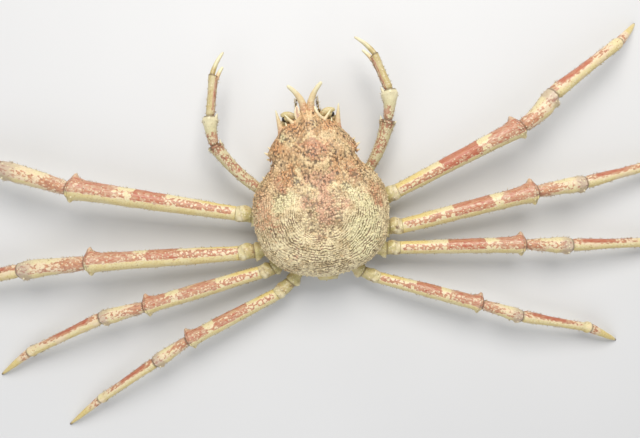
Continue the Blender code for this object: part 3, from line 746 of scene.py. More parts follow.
def ridge_share(points):
    """Where the ridges take over from the grains: all of the rear, with a ragged front line."""
    x, y = points[..., 0], points[..., 1]
    rear = eased(y + 0.16 * np.abs(x) - 4, -34, 30) * eased(np.hypot(x, y - 4), 13, 34)
    rear = rear + 0.4 * blotches(points, 12, 52) + 0.2 * blotches(points, 4, 53)
    return eased(rear, 0.15, 0.85)


def line_field(points, start, end, width):
    """A ridge along a straight line seen from above, 1 on it and falling off to the sides."""
    start, end = np.array(start, dtype=float), np.array(end, dtype=float)
    run = end - start
    flat = points[..., :2] - start
    along = np.clip(flat @ run / (run @ run), 0, 1)
    return peak(np.linalg.norm(flat - along[..., None] * run, axis=-1), 0, width)


# Pale ridges in front: from the fork back over the snout, round the stomach and over the eyes
SNOUT_RIDGES = [
    ((1.3, -104), (1, -96), 0.9), ((1, -96), (-0.2, -87), 1),
    ((6.4, -101), (5, -93), 0.9), ((5, -93), (3.2, -88), 0.8),
    ((-4.5, -101), (-3, -92), 0.9), ((11, -90), (7.5, -92), 1),
    ((11, -89.5), (17.5, -86), 1.1), ((-9, -92), (-17, -87), 1.2),
    ((-12, -60), (-15, -63), 0.8), ((12, -60), (14.5, -62.5), 0.8),
]


def snout_ridges(points):
    """The highest of all the pale ridges of the front."""
    return np.max([line_field(points, *ridge) for ridge in SNOUT_RIDGES], axis=0)


def grid_normals(points):
    """Outward directions of a square grid of points, from its two differences."""
    normals = unit(np.cross(np.gradient(points, axis=0), np.gradient(points, axis=1)))
    return normals * np.sign(normals[normals.shape[0] // 2, normals.shape[1] // 2, 2])


# %% Surface of the shell
radius, angle = disc_grid(SHELL_CELLS)
share = even_share(np.clip(radius / BACK_SHARE, 0, 1))
rim_height = margin_height(angle)
last_drop = (rim_height - PARTING_HEIGHT - RIM_GAP) / (rim_height - BELLY_HEIGHT)
drop = np.clip((radius - BACK_SHARE) / (1 - BACK_SHARE), 0, 1) * last_drop
on_back = (radius <= BACK_SHARE)[..., None]
shell_base = np.where(on_back, back_points(angle, share), flank_points(angle, drop))

# The front's grains and the rear's ridges, blended by how far the ridges have taken over
grain_rise, grain_first = grains(shell_base)
ridge_rise, ridge_first = wavy_ridges(shell_base, radius * 100)
ridges = ridge_share(shell_base)
front = 1 - ridges
rise = grain_rise * front + ridge_rise * ridges
grain_middle = np.where(ridges > 0.5, ridge_first, grain_first)
snout = snout_ridges(shell_base)
rise = np.clip(rise * (1 - 0.7 * snout) + 0.95 * snout, 0, 1)

# Gaps between grains are pits too; the snout is smoother and the middle of the back calmer
forward = shell_base[..., 1]
gap = eased(grain_first, 0.55, 0.7) * front + eased(1 - ridge_rise, 0.78, 0.95) * ridges
gap = gap * eased(blotches(shell_base, 9, 71), -0.9, 0.3)
smooth = 0.75 * eased(forward, -85, -97)
rise = rise + (0.85 - rise) * smooth * (1 - snout)
gap = gap * (1 - smooth)
middle = eased(forward, -32, -8) * front
pit = np.maximum(pits(shell_base) * (1 - 0.6 * ridges), (0.9 - 0.45 * ridges) * gap)
pit = pit * (1 - snout) * (1 - 0.3 * middle)
rise = rise + 0.16 * middle * (1 - rise)

# The surface stands out by the rise and in by the pits, and fades out at the grid's rim
grown = 0.55 + 0.45 * eased(forward, -60, -20)
lift = (grain_rise - 0.5) * GRAIN_RISE * grown * front + (ridge_rise - 0.5) * RIDGE_RISE * ridges
lift = lift * (1 - 0.8 * snout) + 0.75 * snout - PIT_DEPTH * pit * (1 - snout)
lift = lift * eased(radius, 1, 0.985)
shell_points = shell_base + grid_normals(shell_base) * lift[..., None]
print("carapace grid", shell_points.shape[:2], "lift %.2f to %.2f mm" % (lift.min(), lift.max()))

# %% Carapace colours
# Stains of the shell: x, y, radius, amount. The two sides differ, partly as on the real one and partly
# as painted light: on the animal's left (x > 0) the red stains are thin and the light ones many, to
# make that side brighter.
STAINS = {
    "orange": [
        (0, -84, 10, 0.2), (21, -83, 8, 0.75), (-20, -81, 8, 0.65), (30, -30, 10, 0.7),
        (24, -38, 9, 0.6), (-32, -36, 8, 0.4), (34, -64, 8, 0.6), (-20, -40, 7, 0.4),
        (40, -66, 6, 0.5), (10, -74, 7, 0.3)],
    "red": [
        (56, -4, 12, 0.42), (52, -18, 10, 0.34), (60, 12, 9, 0.36), (44, 14, 8, 0.3),
        (-54, -10, 10, 0.35), (-3, -56, 12, 0.66), (0, -62, 8, 0.3), (-40, -60, 8, 0.4),
        (40, -30, 8, 0.45), (34, -20, 6, 0.4), (-36, -28, 9, 0.4), (-60, 2, 7, 0.35)],
    "green": [
        (34, -10, 9, 0.9), (43, -4, 7, 0.8), (26, -14, 6, 0.6), (-35, -8, 9, 0.8), (-44, -2, 8, 0.9),
        (-26, -18, 7, 0.6), (-52, 6, 6, 0.5), (28, -72, 5, 0.9), (7, -20, 5, 0.8), (-14, -20, 5, 0.8),
        (18, -38, 4, 0.8), (20, -28, 5, 0.7), (34, 26, 14, 0.15), (54, -10, 13, 0.34),
        (48, -24, 12, 0.42), (-46, 34, 16, 0.35), (-30, 30, 18, 0.5), (-46, 22, 16, 0.6),
        (-36, 48, 12, 0.45), (0, 44, 14, 0.35)],
    "pink": [
        (-5, 0, 7, 1), (-5, 9, 7, 0.9), (-4, -10, 6, 0.8), (-3, -24, 9, 0.85),
        (10, -32, 8, 0.6), (-14, -30, 8, 0.55), (46, -44, 8, 0.4), (-26, -2, 8, 0.35),
        (14, -6, 6, 0.45), (44, -50, 6, 0.4), (8, 36, 10, 0.3), (-22, 46, 12, 0.3),
        (30, 44, 12, 0.3)],
    # Paler patches of the shell, and painted light that brightens the animal's left side (x > 0)
    "light": [
        (34, -45, 9, 0.75), (20, -74, 8, 0.6), (51, -11, 12, 0.5), (46, -26, 9, 0.5), (-4, 5, 5, 0.35),
        (15, 12, 8, 0.35), (-12, -72, 8, 0.35), (60, 8, 9, 0.4), (8, -14, 6, 0.3)],
}

# %% Masks of the shell
def stain_field(points, stains):
    """Sum of the bells of a list of stains, cut off at 1."""
    x, y = points[..., 0], points[..., 1]
    total = sum(amount * bell(x, y, cx, cy, size) for cx, cy, size, amount in stains)
    return np.clip(total, 0, 1)


# Cream lines behind the stomach, seen from above
PALE_LINES = [((18.6, -41.2), (14.3, -27.6), 2), ((12.5, -22.4), (0.7, -14.2), 2.3),
              ((-9.3, -17), (-19.7, -22.6), 2.3)]


def pale_lines(points):
    """The rear side of a ring round the stomach dome and the cream lines behind it, broken up."""
    x, y = points[..., 0] + 2.5, points[..., 1] + 56.5
    ring = peak(np.hypot(x, y * 1.05), 16.5, 1.9) * eased(y, -3, 9)
    lines = [line_field(points, *line) for line in PALE_LINES]
    return np.max([ring] + lines, axis=0) * eased(blotches(points, 3, 74), -0.8, 0.4)


def shell_masks(points, rise, ridges, pit):
    """The masks that the carapace finish reads, for any points on or near the shell."""
    masks = {name: stain_field(points, stains) for name, stains in STAINS.items()}
    arc = pale_lines(points)
    masks["light"] = np.clip(masks["light"] + 0.8 * arc, 0, 1)
    for name in ("red", "orange", "pink"):
        masks[name] = masks[name] * (1 - 0.7 * arc)
    rise, pit = rise + 0.5 * arc * (1 - rise), pit * (1 - 0.7 * arc)
    front = eased(points[..., 1] + 12 * blotches(points, 13, 77), 6, -44)
    masks["orange"] = np.clip(masks["orange"] + 0.16 * (1 - ridges) * front, 0, 1)
    masks["pink"] = np.clip(masks["pink"] + 0.3 * (1 - ridges) * (1 - front), 0, 1)
    masks["red"] = np.clip(masks["red"] + 0.16, 0, 1)
    masks.update(rise=rise, ridges=np.maximum(ridges, 0.75 * (1 - front)), pit=pit)
    return {name: np.ravel(mask) for name, mask in masks.items()}


def build_carapace():
    """The shell's grid, closed underneath by a level fan from the rim to the middle."""
    masks = shell_masks(shell_points, rise, ridges, pit)
    points = np.concatenate([shell_points.reshape(-1, 3), [[0, 0, PARTING_HEIGHT + RIM_GAP]]])
    masks = {name: np.append(values, 0) for name, values in masks.items()}
    count = SHELL_CELLS + 1
    faces = grid_faces(count, count, wrap=False)
    rim = square_rim(SHELL_CELLS)
    return make_piece("carapace_shell", points, [faces, fan_faces(rim[::-1], len(points) - 1)],
                      CARAPACE_FINISH, "shell", ["carapace"], masks)


build_carapace()

# %% [markdown]
# ### Limb finish
# The legs are cream. The thickest segment has a yellow fore edge near the hip, a salmon net over
# its top, one long brick red patch in the middle and a plain hind band. The next segment ends in a
# greyish violet bloom, and brown lines run round the joints. The pattern is stretched along the
# limb, so it reads a vector that each segment carries: its distance along the limb, and how far
# back and up it is.

# %% Limb material
LEG_CREAM = (0.7, 0.61, 0.35, 1)
LEG_YELLOW = (0.67, 0.53, 0.2, 1)
LEG_BLUSH = (0.56, 0.39, 0.26, 1)
LEG_PINK = (0.74, 0.59, 0.41, 1)
LEG_WHITE = (0.78, 0.7, 0.48, 1)
LEG_SALMON = (0.49, 0.2, 0.092, 1)
LEG_BRICK = (0.4, 0.085, 0.04, 1)
LEG_DUSK = (0.34, 0.098, 0.046, 1)
LEG_VIOLET = (0.36, 0.25, 0.215, 1)
LEG_BROWN = (0.11, 0.06, 0.028, 1)


def leg_material(name, tones, roughness):
    """Cream to yellow, then blush, salmon net, brick patch, violet bloom, brown lines, beads."""
    cream, yellow, pink, salmon, dusk = tones
    material, tree = begun_material(name, roughness, 0.15, 0.25)
    place = put(tree, "ShaderNodeAttribute", attribute_name="place").outputs["Vector"]
    drawn, long_way = (
        put(tree, "ShaderNodeMapping", {"Vector": place, "Scale": (along, 1, 1)}).outputs[0]
        for along in (0.6, 0.14))
    red, mottle = mask_of(tree, "red"), mask_of(tree, "mottle")
    broad, fine = noise_at(tree, drawn, 120, 3), noise_at(tree, place, 600, 3)
    share = stirred(tree, mask_of(tree, "yellow"), broad)
    colour = graded(tree, cream, yellow, share, 0.1, 0.9)
    colour = graded(tree, colour, LEG_WHITE, fine, 0.55, 0.72, 0, 0.35)
    colour = graded(tree, colour, dusk, fine, 0.34, 0.46, 0.3, 0)
    blush = stirred(tree, mottle, broad)
    colour = graded(tree, colour, pink, blush, 0.16, 0.46, 0, 0.85)
    net = use_group(tree, MOTTLING, Place=drawn, Amount=mottle, Scale=430, Softness=0.05)
    dusky = graded(tree, dusk, salmon, noise_at(tree, drawn, 520), 0.38, 0.58)
    colour = laid_on(tree, colour, net, dusky, 0.85)
    brick = use_group(tree, MOTTLING, Place=long_way, Amount=red, Scale=420, Softness=0.08)
    streak, fibre = noise_at(tree, long_way, 700), noise_at(tree, long_way, 1500)
    mixed = maths(tree, "MULTIPLY", ranged(tree, streak, 0.4, 0.66),
                  ranged(tree, red, 0.8, 1, 0.8, 0.45))
    tone = blend(tree, mixed, LEG_BRICK, salmon)
    faded = maths(tree, "ADD", ranged(tree, red, 0.45, 0.95, 0.75, 0.05),
                  ranged(tree, fibre, 0.4, 0.62, -0.25, 0.3))
    tone = graded(tree, tone, LEG_BLUSH, faded, 0, 0.9, 0, 0.9)
    colour = laid_on(tree, colour, brick, tone, 0.92)
    colour = laid_on(tree, colour, mask_of(tree, "violet"), LEG_VIOLET, 0.7)
    beaded = ranged(tree, red, 0.3, 1, 0.7, 0.3)
    colour = laid_on(tree, colour, mask_of(tree, "rise"), LEG_WHITE, beaded)
    specks = use_group(tree, SPECKS, Place=place, Scale=170, Radius=0.13, Share=0.16)
    dark = maths(tree, "MAXIMUM", maths(tree, "MULTIPLY", specks, 0.6), mask_of(tree, "dark"))
    colour = blend(tree, dark, colour, LEG_BROWN)
    grain = use_group(tree, FINE_RELIEF, Place=drawn, Scale=1300)
    return painted(material, colour, grain, 0.28, 0.0004)


# cream, yellow, blush, net and the net's dark tone
LEG_TONES = (LEG_CREAM, LEG_YELLOW, LEG_PINK, LEG_SALMON, LEG_DUSK)
HIP_TONES = ((0.47, 0.4, 0.17, 1), (0.59, 0.51, 0.22, 1), (0.54, 0.43, 0.21, 1),
             (0.4, 0.22, 0.09, 1), (0.27, 0.15, 0.06, 1))
CLAW_TONES = ((0.59, 0.54, 0.31, 1), (0.47, 0.365, 0.145, 1), (0.6, 0.52, 0.31, 1),
              (0.4, 0.14, 0.075, 1), (0.26, 0.08, 0.04, 1))
LEG_FINISH = leg_material("leg_cuticle", LEG_TONES, 0.42)
HIP_FINISH = leg_material("hip_cuticle", HIP_TONES, 0.36)
CLAW_FINISH = leg_material("claw_arm_cuticle", CLAW_TONES, 0.38)

# %% [markdown]
# ## Small cones
# Tubercles, beads and spines are all small turned cones. One helper makes any number of them as
# arrays: a profile of radius and height shares is turned round each one's own axis, and its foot
# is sunk in the surface below, so no gap shows.

# %% Small cones
def studs(places, outs, radii, heights, sides=6, profile=((1, -0.45), (0.74, 0.35), (0.38, 0.8))):
    """Blunt cones: each profile ring is place + out h + (cos, sin) r, closed by a tip and a foot."""
    outs = unit(outs)
    level = unit(np.cross(outs, [0.31, 0.17, 0.93]))
    across = np.cross(outs, level)
    turn = np.arange(sides) * 2 * math.pi / sides
    wide, high = np.array(profile).T
    ring = level[:, None, :] * np.cos(turn)[:, None] + across[:, None, :] * np.sin(turn)[:, None]
    reach = radii[:, None] * wide
    lift = heights[:, None] * high
    points = (places[:, None, None, :] + outs[:, None, None, :] * lift[..., None, None]
              + ring[:, None, :, :] * reach[..., None, None])
    count, rings = len(places), len(profile)
    tip = places + outs * heights[:, None]
    foot = places + outs * (heights * high[0])[:, None]
    points = np.concatenate([points.reshape(count, -1, 3), tip[:, None], foot[:, None]], 1)
    each = rings * sides + 2
    one = [grid_faces(rings, sides), fan_faces(np.arange(sides)[::-1], each - 1),
           fan_faces(np.arange((rings - 1) * sides, rings * sides), each - 2)]
    shift = np.arange(count) * each
    groups = [(faces[None] + shift[:, None, None]).reshape(-1, faces.shape[1]) for faces in one]
    height = np.concatenate([np.repeat(high, sides), [1, high[0]]])
    return points.reshape(-1, 3), groups, np.tile(height, count), np.repeat(np.arange(count), each)


def joined(parts):
    """Several (points, groups, values) as one."""
    start, points, groups, values = 0, [], [], []
    for some, faces, value in parts:
        points.append(some)
        groups += [one + start for one in faces]
        values.append(value)
        start += len(some)
    return np.concatenate(points), groups, np.concatenate(values)


BEAD_PROFILE = ((1, -0.4), (0.66, 0.6))
GRANULE_PROFILE = ((1, -0.4), (0.62, 0.55))
SPINE_PROFILE = [(1.45, -0.06), (1.12, 0.05), (0.92, 0.17), (0.76, 0.33), (0.6, 0.5), (0.45, 0.68),
                 (0.31, 0.83), (0.17, 0.95)]

# %% [markdown]
# ### Bristles
# Short stiff hairs stand in tufts along the edges of the limbs, round the eyes and under the
# horns, golden brown and bleached at their ends. Each hair is a slim three-sided cone, bent a
# little. Its place on the bake map is a small patch where its tuft grows on the skin's own unwrap.

# %% Bristle tufts
HAIR_PROFILE = ((1, -0.12), (0.82, 0.35), (0.5, 0.7))
HAIRS_IN_TUFT = 5
BAKE_PATCH = 0.0014            # half the width of a tuft's patch on the bake map
BRISTLE_ROOT = (0.27, 0.175, 0.07, 1)
BRISTLE_END = (0.62, 0.5, 0.26, 1)


def hair_tufts(roots, outs, unwrap, length, radius, spread, dice):
    """Hairs of several tufts: cones from place + jitter along out + spread, bent as height squared."""
    count = len(roots) * HAIRS_IN_TUFT
    places = np.repeat(roots, HAIRS_IN_TUFT, 0) + dice.normal(0, 0.25, (count, 3))
    fanned = spread * dice.normal(0, 1, (count, 3))
    ways = unit(np.repeat(unit(outs), HAIRS_IN_TUFT, 0) + fanned)
    lengths = length * dice.uniform(0.55, 1.15, count)
    radii = radius * dice.uniform(0.7, 1.1, count)
    points, groups, height, own = studs(places, ways, radii, lengths, 3, HAIR_PROFILE)
    up_hair = np.clip(height, 0, 1)[:, None]
    bend = 0.35 * dice.normal(0, 1, (count, 3)) * lengths[:, None]
    points = points + bend[own] * up_hair ** 2
    turn = own * 2.4
    patch = np.stack([np.cos(turn), np.sin(turn)], -1) * (0.3 + 0.7 * up_hair)
    return points, groups, height, np.repeat(unwrap, HAIRS_IN_TUFT, 0)[own] + BAKE_PATCH * patch


def bristle_material():
    """Brown at the root to straw at the end, uneven from hair to hair, with a silky gloss."""
    material, tree = begun_material("bristle_keratin", 0.42)
    place = place_on(tree)
    share = stirred(tree, mask_of(tree, "tip"), noise_at(tree, place, 500))
    colour = graded(tree, BRISTLE_ROOT, BRISTLE_END, share, 0, 0.8)
    return painted(material, colour, noise_at(tree, place, 4000), 0.2, 0.0001)


BRISTLE_FINISH = bristle_material()
print("bristle finish:", BRISTLE_FINISH.name)

# %% [markdown]
# ## Limbs
# Each limb is a chain of straight tubes that meet face to face. A segment is a profile of widths
# carried along its line, and its rings turn to the plane of the joint near both ends. On top of
# that comes what makes it a crab's leg: a collar with blunt knobs round the knee, a slight swell
# and waist, low lumps, and the masks of its colours, all as functions of the share along the
# segment and the turn round it.

# %% Limb tables
# A row holds the root, the segments, the widths and the patch. Root: the hip's centre inside the
# underbody, x outward, y, z. Each segment: length, sweep (degrees, 0 straight out to the side, +
# backwards), rise, and where it has one a bow to the hind side. Widths: hip, merus start, middle,
# end, carpus start, end, propodus start, middle, tip. Patch: where the red patch of the merus
# starts and ends, as shares, how strong it is, and how far back it reaches, from -1 at the fore
# edge to 1 at the hind edge.
LEG_SEGMENTS = ("hip", "merus", "carpus", "propodus", "dactylus")
LEGS = {
    "leg_left_1": (
        (54, 2, 20), (35, -11, 5), (170, -15, 15), (72, -23, -4), (108, -19, -19), (50, -24, -16),
        (17.5, 15.6, 20, 21, 16, 19.5, 16, 12, 12.5), (0.42, 0.61, 0.86, 0.25)),
    "leg_left_2": (
        (56, 35, 20), (34, 3, 4), (155, -3, 10), (70, 0, -4), (100, 5, -14), (48, 12, -15),
        (16.5, 15.8, 19, 19.8, 15.4, 19.2, 14.5, 11.5, 12), (0.39, 0.6, 0.82, 0.15)),
    "leg_left_3": (
        (45, 47, 20), (28, 26, 3, 2.5), (124, 10, 5), (46, 8, 0), (91, 19, -15), (46, 30, -12),
        (15, 14.2, 16.6, 16.6, 12.4, 16, 13.2, 10.8, 11.8), (0.365, 0.69, 0.7, 0.4)),
    "leg_left_4": (
        (26, 57, 19), (40, 42, 3, 2.5), (103, 21, 5), (40, 27, 0), (76, 28, -13), (50, 33, -13),
        (13.5, 13.6, 15.6, 15.8, 11.4, 14.8, 11.4, 9.8, 10.6), (0.31, 0.685, 0.74, 0.4)),
    "leg_right_1": (
        (54, 1, 20), (30, -20, 4), (140, -21, 16), (44, -40, 2, 3), (92, -31, -12), (52, -36, -29),
        (17, 15.2, 17.6, 19, 15.5, 19.5, 16, 12.8, 12.6), (0.36, 0.665, 1, 0.6)),
    "leg_right_2": (
        (55, 25, 20), (28, 6, 3), (141, -8, 9), (51, -4, -2), (90, -8, -14), (46, -4, -15),
        (16.5, 16, 18, 19, 13.4, 16.8, 13.4, 10.4, 11), (0.38, 0.67, 0.78, 0.45)),
    "leg_right_3": (
        (49, 47, 20), (29, 6, 2), (128, 5, 6), (48, 7, -1), (86, 5, -13), (44, 10, -13),
        (15, 13.8, 16, 17.2, 11.6, 17, 13.2, 10.4, 11), (0.38, 0.68, 0.84, 0.45)),
    "leg_right_4": (
        (23, 57, 19), (37, 36, 3, 2.5), (109, 21, 5), (43, 23, -1), (78, 17, -12), (40, 31, -13),
        (13.5, 12.6, 15, 15.2, 10.8, 14.2, 12.6, 9.8, 12.6), (0.35, 0.6, 0.82, 0.4)),
}

# Claw arms, told in the same way; the palm's last value is its width at the fingers
CLAW_SEGMENTS = ("hip", "merus", "carpus", "palm", "finger")
CLAWS = {
    "claw_left": (
        (48, -21, 22), (18, -28, 5), (60, -52, 11, 2.5), (29, -89, 3, 1.2),
        (41, -101, -1), (28, -116, -6, 1.6),
        (12, 12, 13.2, 13.6, 10.2, 14.2, 9.4, 9.2, 10.6)),
    "claw_right": (
        (46, -25, 22), (18, -50, 5), (49, -64, 11, 2), (30, -82, 3, 1.2),
        (38, -107, -1), (29, -127, -6, 1.6),
        (12, 11.5, 13.4, 14.4, 10.2, 15, 9.6, 9.2, 10.6)),
}


def told_in_words(limbs, segments):
    """The rows of a table with a word for each column."""
    words = ("root",) + segments + ("widths", "patch")
    return {name: dict(zip(words, row)) for name, row in limbs.items()}


LEGS, CLAWS = told_in_words(LEGS, LEG_SEGMENTS), told_in_words(CLAWS, CLAW_SEGMENTS)
print("legs:", len(LEGS), "claw arms:", len(CLAWS))

# %% Joints and rings of a limb
GAP = 0.3                      # clearance between two pieces that touch
JOINT_BLEND = 0.18             # share of a segment over which its rings turn to the joint
TIP_WIDTH = 2.2
FINGER_TIP_WIDTH = 1.2
FINGER_OFFSET = 1.6
RISE_OF_MIDDLE = {"propodus": 1.5, "dactylus": 2.2}
UP = np.array([0, 0, 1])


def limb_joints(limb, segments, side):
    """Joint centres from root to tip, and the way each joint faces, halfway between its runs."""
    x, y, z = limb["root"]
    joints = [np.array([side * x, y, z], dtype=float)]
    for part in segments:
        length, sweep, rise_of_part = limb[part][:3]
        flat, heading = math.sqrt(length ** 2 - rise_of_part ** 2), math.radians(sweep)
        run = np.array([side * flat * math.cos(heading), flat * math.sin(heading), rise_of_part])
        joints.append(joints[-1] + run)
    runs = unit(np.diff(joints, axis=0))
    return np.array(joints), np.concatenate([runs[:1], unit(runs[:-1] + runs[1:]), runs[-1:]])


def segment_rings(part, widths):
    """(share of the length, width) of one segment; each segment is waisted at its joints."""
    hip, m0, m1, m2, c0, c1, p0, p1, tip = widths
    return {
        "hip": [(0, hip * 0.9), (0.25, hip * 0.95), (0.44, hip), (0.56, m0 * 0.98),
                (0.74, m0 * 1.07), (0.9, m0 * 1.04), (1, m0)],
        "merus": [(0, m0), (0.035, m0), (0.3, (m0 + m1) / 2), (0.62, m1), (0.88, m2),
                  (0.965, m2 * 1.1), (1, m2 * 0.86)],
        "carpus": [(0, c0 * 0.86), (0.12, c0), (0.45, (c0 + c1) / 2), (0.85, c1),
                   (1, c1 * 0.84)],
        "propodus": [(0, p0 * 0.86), (0.06, p0), (0.5, p1), (0.9, p1 * 0.97), (0.97, tip),
                     (1, tip * 0.88)],
        "dactylus": [(0, tip * 0.72), (0.05, tip * 0.8), (0.4, tip * 0.62), (0.72, tip * 0.42),
                     (0.9, tip * 0.27), (1, TIP_WIDTH)],
        "palm": [(0, p0 * 0.86), (0.1, p0), (0.55, p1), (0.88, tip * 0.96), (1, tip)],
        "finger": [(0, 5.6), (0.3, 5.2), (0.65, 4.1), (0.88, 3.1), (0.97, 2.2),
                   (1, FINGER_TIP_WIDTH)],
    }[part]


def facing(run, side):
    """The hind and the upward direction of lines that run outwards on one side of the body."""
    level = unit(np.cross(run, UP))
    return -level * side, np.cross(level, run)


def carried_frame(start, end, faces, bow, side, rows):
    """Share, centre, and the forward, hind and upward directions of each ring of a segment.

    The centre is start + (end - start) s + bow 4 s (1 - s). The forward direction is that
    curve's slope, eased to the joint's own facing near both ends. Rings crowd at both ends.
    """
    step = np.linspace(0, 1, rows)
    share = (step - 0.055 * np.sin(2 * math.pi * step))[:, None]
    centre = start + (end - start) * share + bow * 4 * share * (1 - share)
    forward = unit(end - start + bow * 4 * (1 - 2 * share))
    for face, near in ((faces[0], share), (faces[1], 1 - share)):
        if face is not None:
            part = eased(near, 0, JOINT_BLEND)
            forward = unit(face * (1 - part) + forward * part)
    return share, centre, forward, *facing(forward, side)


def turns(sides):
    """A row of equal turns once round a ring."""
    return (np.arange(sides) * 2 * math.pi / sides)[None, :]


def spun(hind, up, turn, flat=1):
    """Directions round each ring's centre: hind cos + up sin, the second flattened."""
    return hind[:, None] * np.cos(turn)[..., None] + up[:, None] * np.sin(turn)[..., None] * flat


# %% [markdown]
# ### Knobs and beads
# The crab's knees are no plain hinges: blunt knobs stand on both sides of them, and the hip is a
# bundle of soft folds. Each knob is a bell on the skin. The beads stand in a band along the top of
# the segments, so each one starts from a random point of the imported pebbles.

# %% Knobs and beads
HIND, TOP, FORE = 0, math.pi / 2, math.pi
# Way back from the far end, turn, height and radius, the lengths as shares of the widest ring
KNOBS = {
    ("leg", "hip"): [
        (0.55, FORE, 0.07, 0.22), (0.5, TOP + 0.3, 0.06, 0.26), (0.3, FORE - 0.6, 0.08, 0.22),
        (0.22, HIND + 0.5, 0.08, 0.2), (0.45, HIND + 0.9, 0.07, 0.22),
        (0.2, TOP - 0.4, 0.06, 0.2)],
    ("leg", "merus"): [
        (0.19, FORE, 0.19, 0.145), (0.17, HIND, 0.15, 0.12), (0.16, TOP, 0.07, 0.15),
        (0.32, FORE, 0.06, 0.3), (0.1, FORE - 0.9, 0.06, 0.1), (0.1, HIND + 0.8, 0.05, 0.1)],
    ("leg", "carpus"): [
        (0.24, HIND, 0.12, 0.22), (0.12, TOP - 0.3, 0.05, 0.12), (0.9, HIND + 0.3, 0.04, 0.3)],
    ("claw", "merus"): [
        (0.1, FORE, 0.07, 0.34), (0.1, HIND, 0.07, 0.34), (0.16, TOP, 0.05, 0.2)],
    ("claw", "carpus"): [
        (0.3, FORE, 0.1, 0.32), (0.3, HIND, 0.08, 0.34), (0.14, TOP, 0.05, 0.2)],
}
HIP_LOBE = (0.43, HIND, 0.17, 0.26)     # share along the hip, then as the knobs
# Rings and points round each
SEGMENT_GRIDS = {"hip": (84, 72), "merus": (216, 84), "carpus": (100, 68), "propodus": (120, 56),
                 "dactylus": (76, 44), "palm": (84, 52), "finger": (60, 36)}
BEAD_BANDS = {"merus": 0.95, "carpus": 1.05, "propodus": 0.45, "palm": 0.5, "hip": 0.9}


def knob_field(share, turn, length, width, knobs):
    """Sum of knobs, each a bell of its distance along and round the segment, in millimetres."""
    total = np.zeros(np.broadcast(share, turn).shape)
    for back, way, height, size in knobs:
        along = share * length - (length - back * width)
        around = (np.mod(turn - way + math.pi, 2 * math.pi) - math.pi) * width / 2
        total += height * width * np.exp(-((along ** 2 + around ** 2) / (size * width) ** 2) ** 1.3)
    return total


def bead_band(part, hindness, edge):
    """How much of the beaded band, which runs along the top of a segment, a point is in."""
    if part not in BEAD_BANDS:
        return 0 * hindness
    low = edge - BEAD_BANDS[part]
    return eased(hindness, low - 0.1, low + 0.1) * eased(hindness, edge + 0.12, edge - 0.02)


# %% [markdown]
# ### Colour masks of a segment
# Hindness is 1 on the hind edge, 0 along the top and -1 on the fore edge. With the share along the
# segment it makes a map of the skin on which stripes, patches and lines are drawn; blotches make
# their edges ragged, and the walls of scalloped cells draw the net.

# %% Colour masks of a segment
# Thickness of the brown line at a segment's far end and at its start, where it isn't the usual
END_LINE = {"hip": 0, "finger": 0.15}
START_LINE = {"merus": 0.05}
USUAL_END_LINE, USUAL_START_LINE = 0.8, 0.5


def scallops(places, size, salt):
    """Rounded cells of a net: how close a point is to a cell's wall, and to its middle."""
    wobble = np.stack([blotches(places, 4, salt + 61 + k) for k in range(3)], -1)
    drawn = places * [0.85, 1, 1] + 0.8 * wobble
    first, second, _ = pebbles(drawn, size, channel=salt + 60)
    return eased(second - first, 0.4, 0.05), eased(first, 0.5, 0.12)


def merus_masks(share, turned, ragged, cells, patch, bare):
    """Three stripes along the thick segment: narrow fore edge, netted top, plain hind edge."""
    first, last, strength, edge = patch
    hindness, under = turned
    wall, middle = cells
    along = share + 0.016 * ragged
    on_top = eased(hindness - 0.2 * (middle - 0.3) + 0.06 * ragged, edge + 0.1, edge - 0.04)
    inside = eased(along, first - 0.006, first + 0.006) * eased(along, last + 0.006, last - 0.006)
    beyond = eased(along + 0.02 * ragged, last + 0.05, last + 0.12)
    gap = eased(along, last, last + 0.02) * (1 - beyond)
    band = bead_band("merus", hindness, edge) * on_top
    hole = band * (1 - wall)
    red = inside * on_top * (1 - 0.75 * under) * strength * (1 - 0.34 * hole)
    red = np.maximum(red, 0.72 * beyond * on_top * (1 - 0.3 * hole) * (1 - under))
    net = 0.34 + 0.5 * wall - 0.12 * middle + 0.12 * beyond
    mottle = 0.06 + band * net + 0.2 * inside * band
    mottle = mottle - 0.12 * band * bare * (1 - inside) * (1 - beyond)
    mottle = mottle + 0.4 * beyond * on_top * (1 - band) - 0.32 * gap * on_top
    root = eased(share + 0.02 * ragged, 0.035, 0)
    mottle = (mottle + 0.08 * ragged * band) * (1 - 0.7 * under) * (1 - 0.6 * root)
    fore = on_top * (1 - band) * eased(share, 0.34, 0.1)
    return red, mottle, 0.15 + 0.95 * fore + 0.35 * (1 - on_top) + 0.3 * root


def claw_merus_masks(share, turned, ragged, wall):
    """Dark net over the middle of the claw arm's thick segment, and one red blotch on it."""
    hindness, under = turned
    over = np.exp(-((hindness + 0.1) / 1.05) ** 4) * (1 - under)
    net = 0.18 + 0.4 * wall * eased(ragged, -0.45, 0.25)
    mottle = 0.12 + over * (net + 0.26 * eased(share, 0.72, 0.92))
    red = 0.85 * peak(share, 0.42, 0.055) * peak(hindness, -0.35, 0.5) * (1 - under)
    return red, mottle, 0.25 + 0.3 * eased(hindness, 0.2, 0.8)


def carpus_masks(share, turned, ragged, wall, is_claw):
    """Red near the knee, pale further out, and a violet end on the walking legs."""
    hindness, under = turned
    if is_claw:
        near = eased(share + 0.08 * ragged, 0.62, 0.3)
        mottle = 0.08 + 0.54 * near * (0.5 + 0.5 * wall) - 0.1 * under
        red = 0.58 * near * eased(-hindness, -0.6, 0.4) * (1 - under)
        return red, mottle, 0.1 + 0 * wall, 0 * wall
    near = eased(share + 0.08 * ragged, 0.52, 0.2)
    net = (0.1 + 0.22 * wall) * bead_band("carpus", hindness, 0.5)
    red = 0.5 * near * eased(-hindness, -0.1, 0.4) * (1 - under)
    violet = 0.75 * eased(share + 0.1 * ragged, 0.68, 0.88) * (1 - under)
    yellow = 0.15 + 0.4 * eased(hindness, 0.2, 0.7)
    return red, 0.2 + 0.3 * near + net - 0.3 * under, yellow, violet


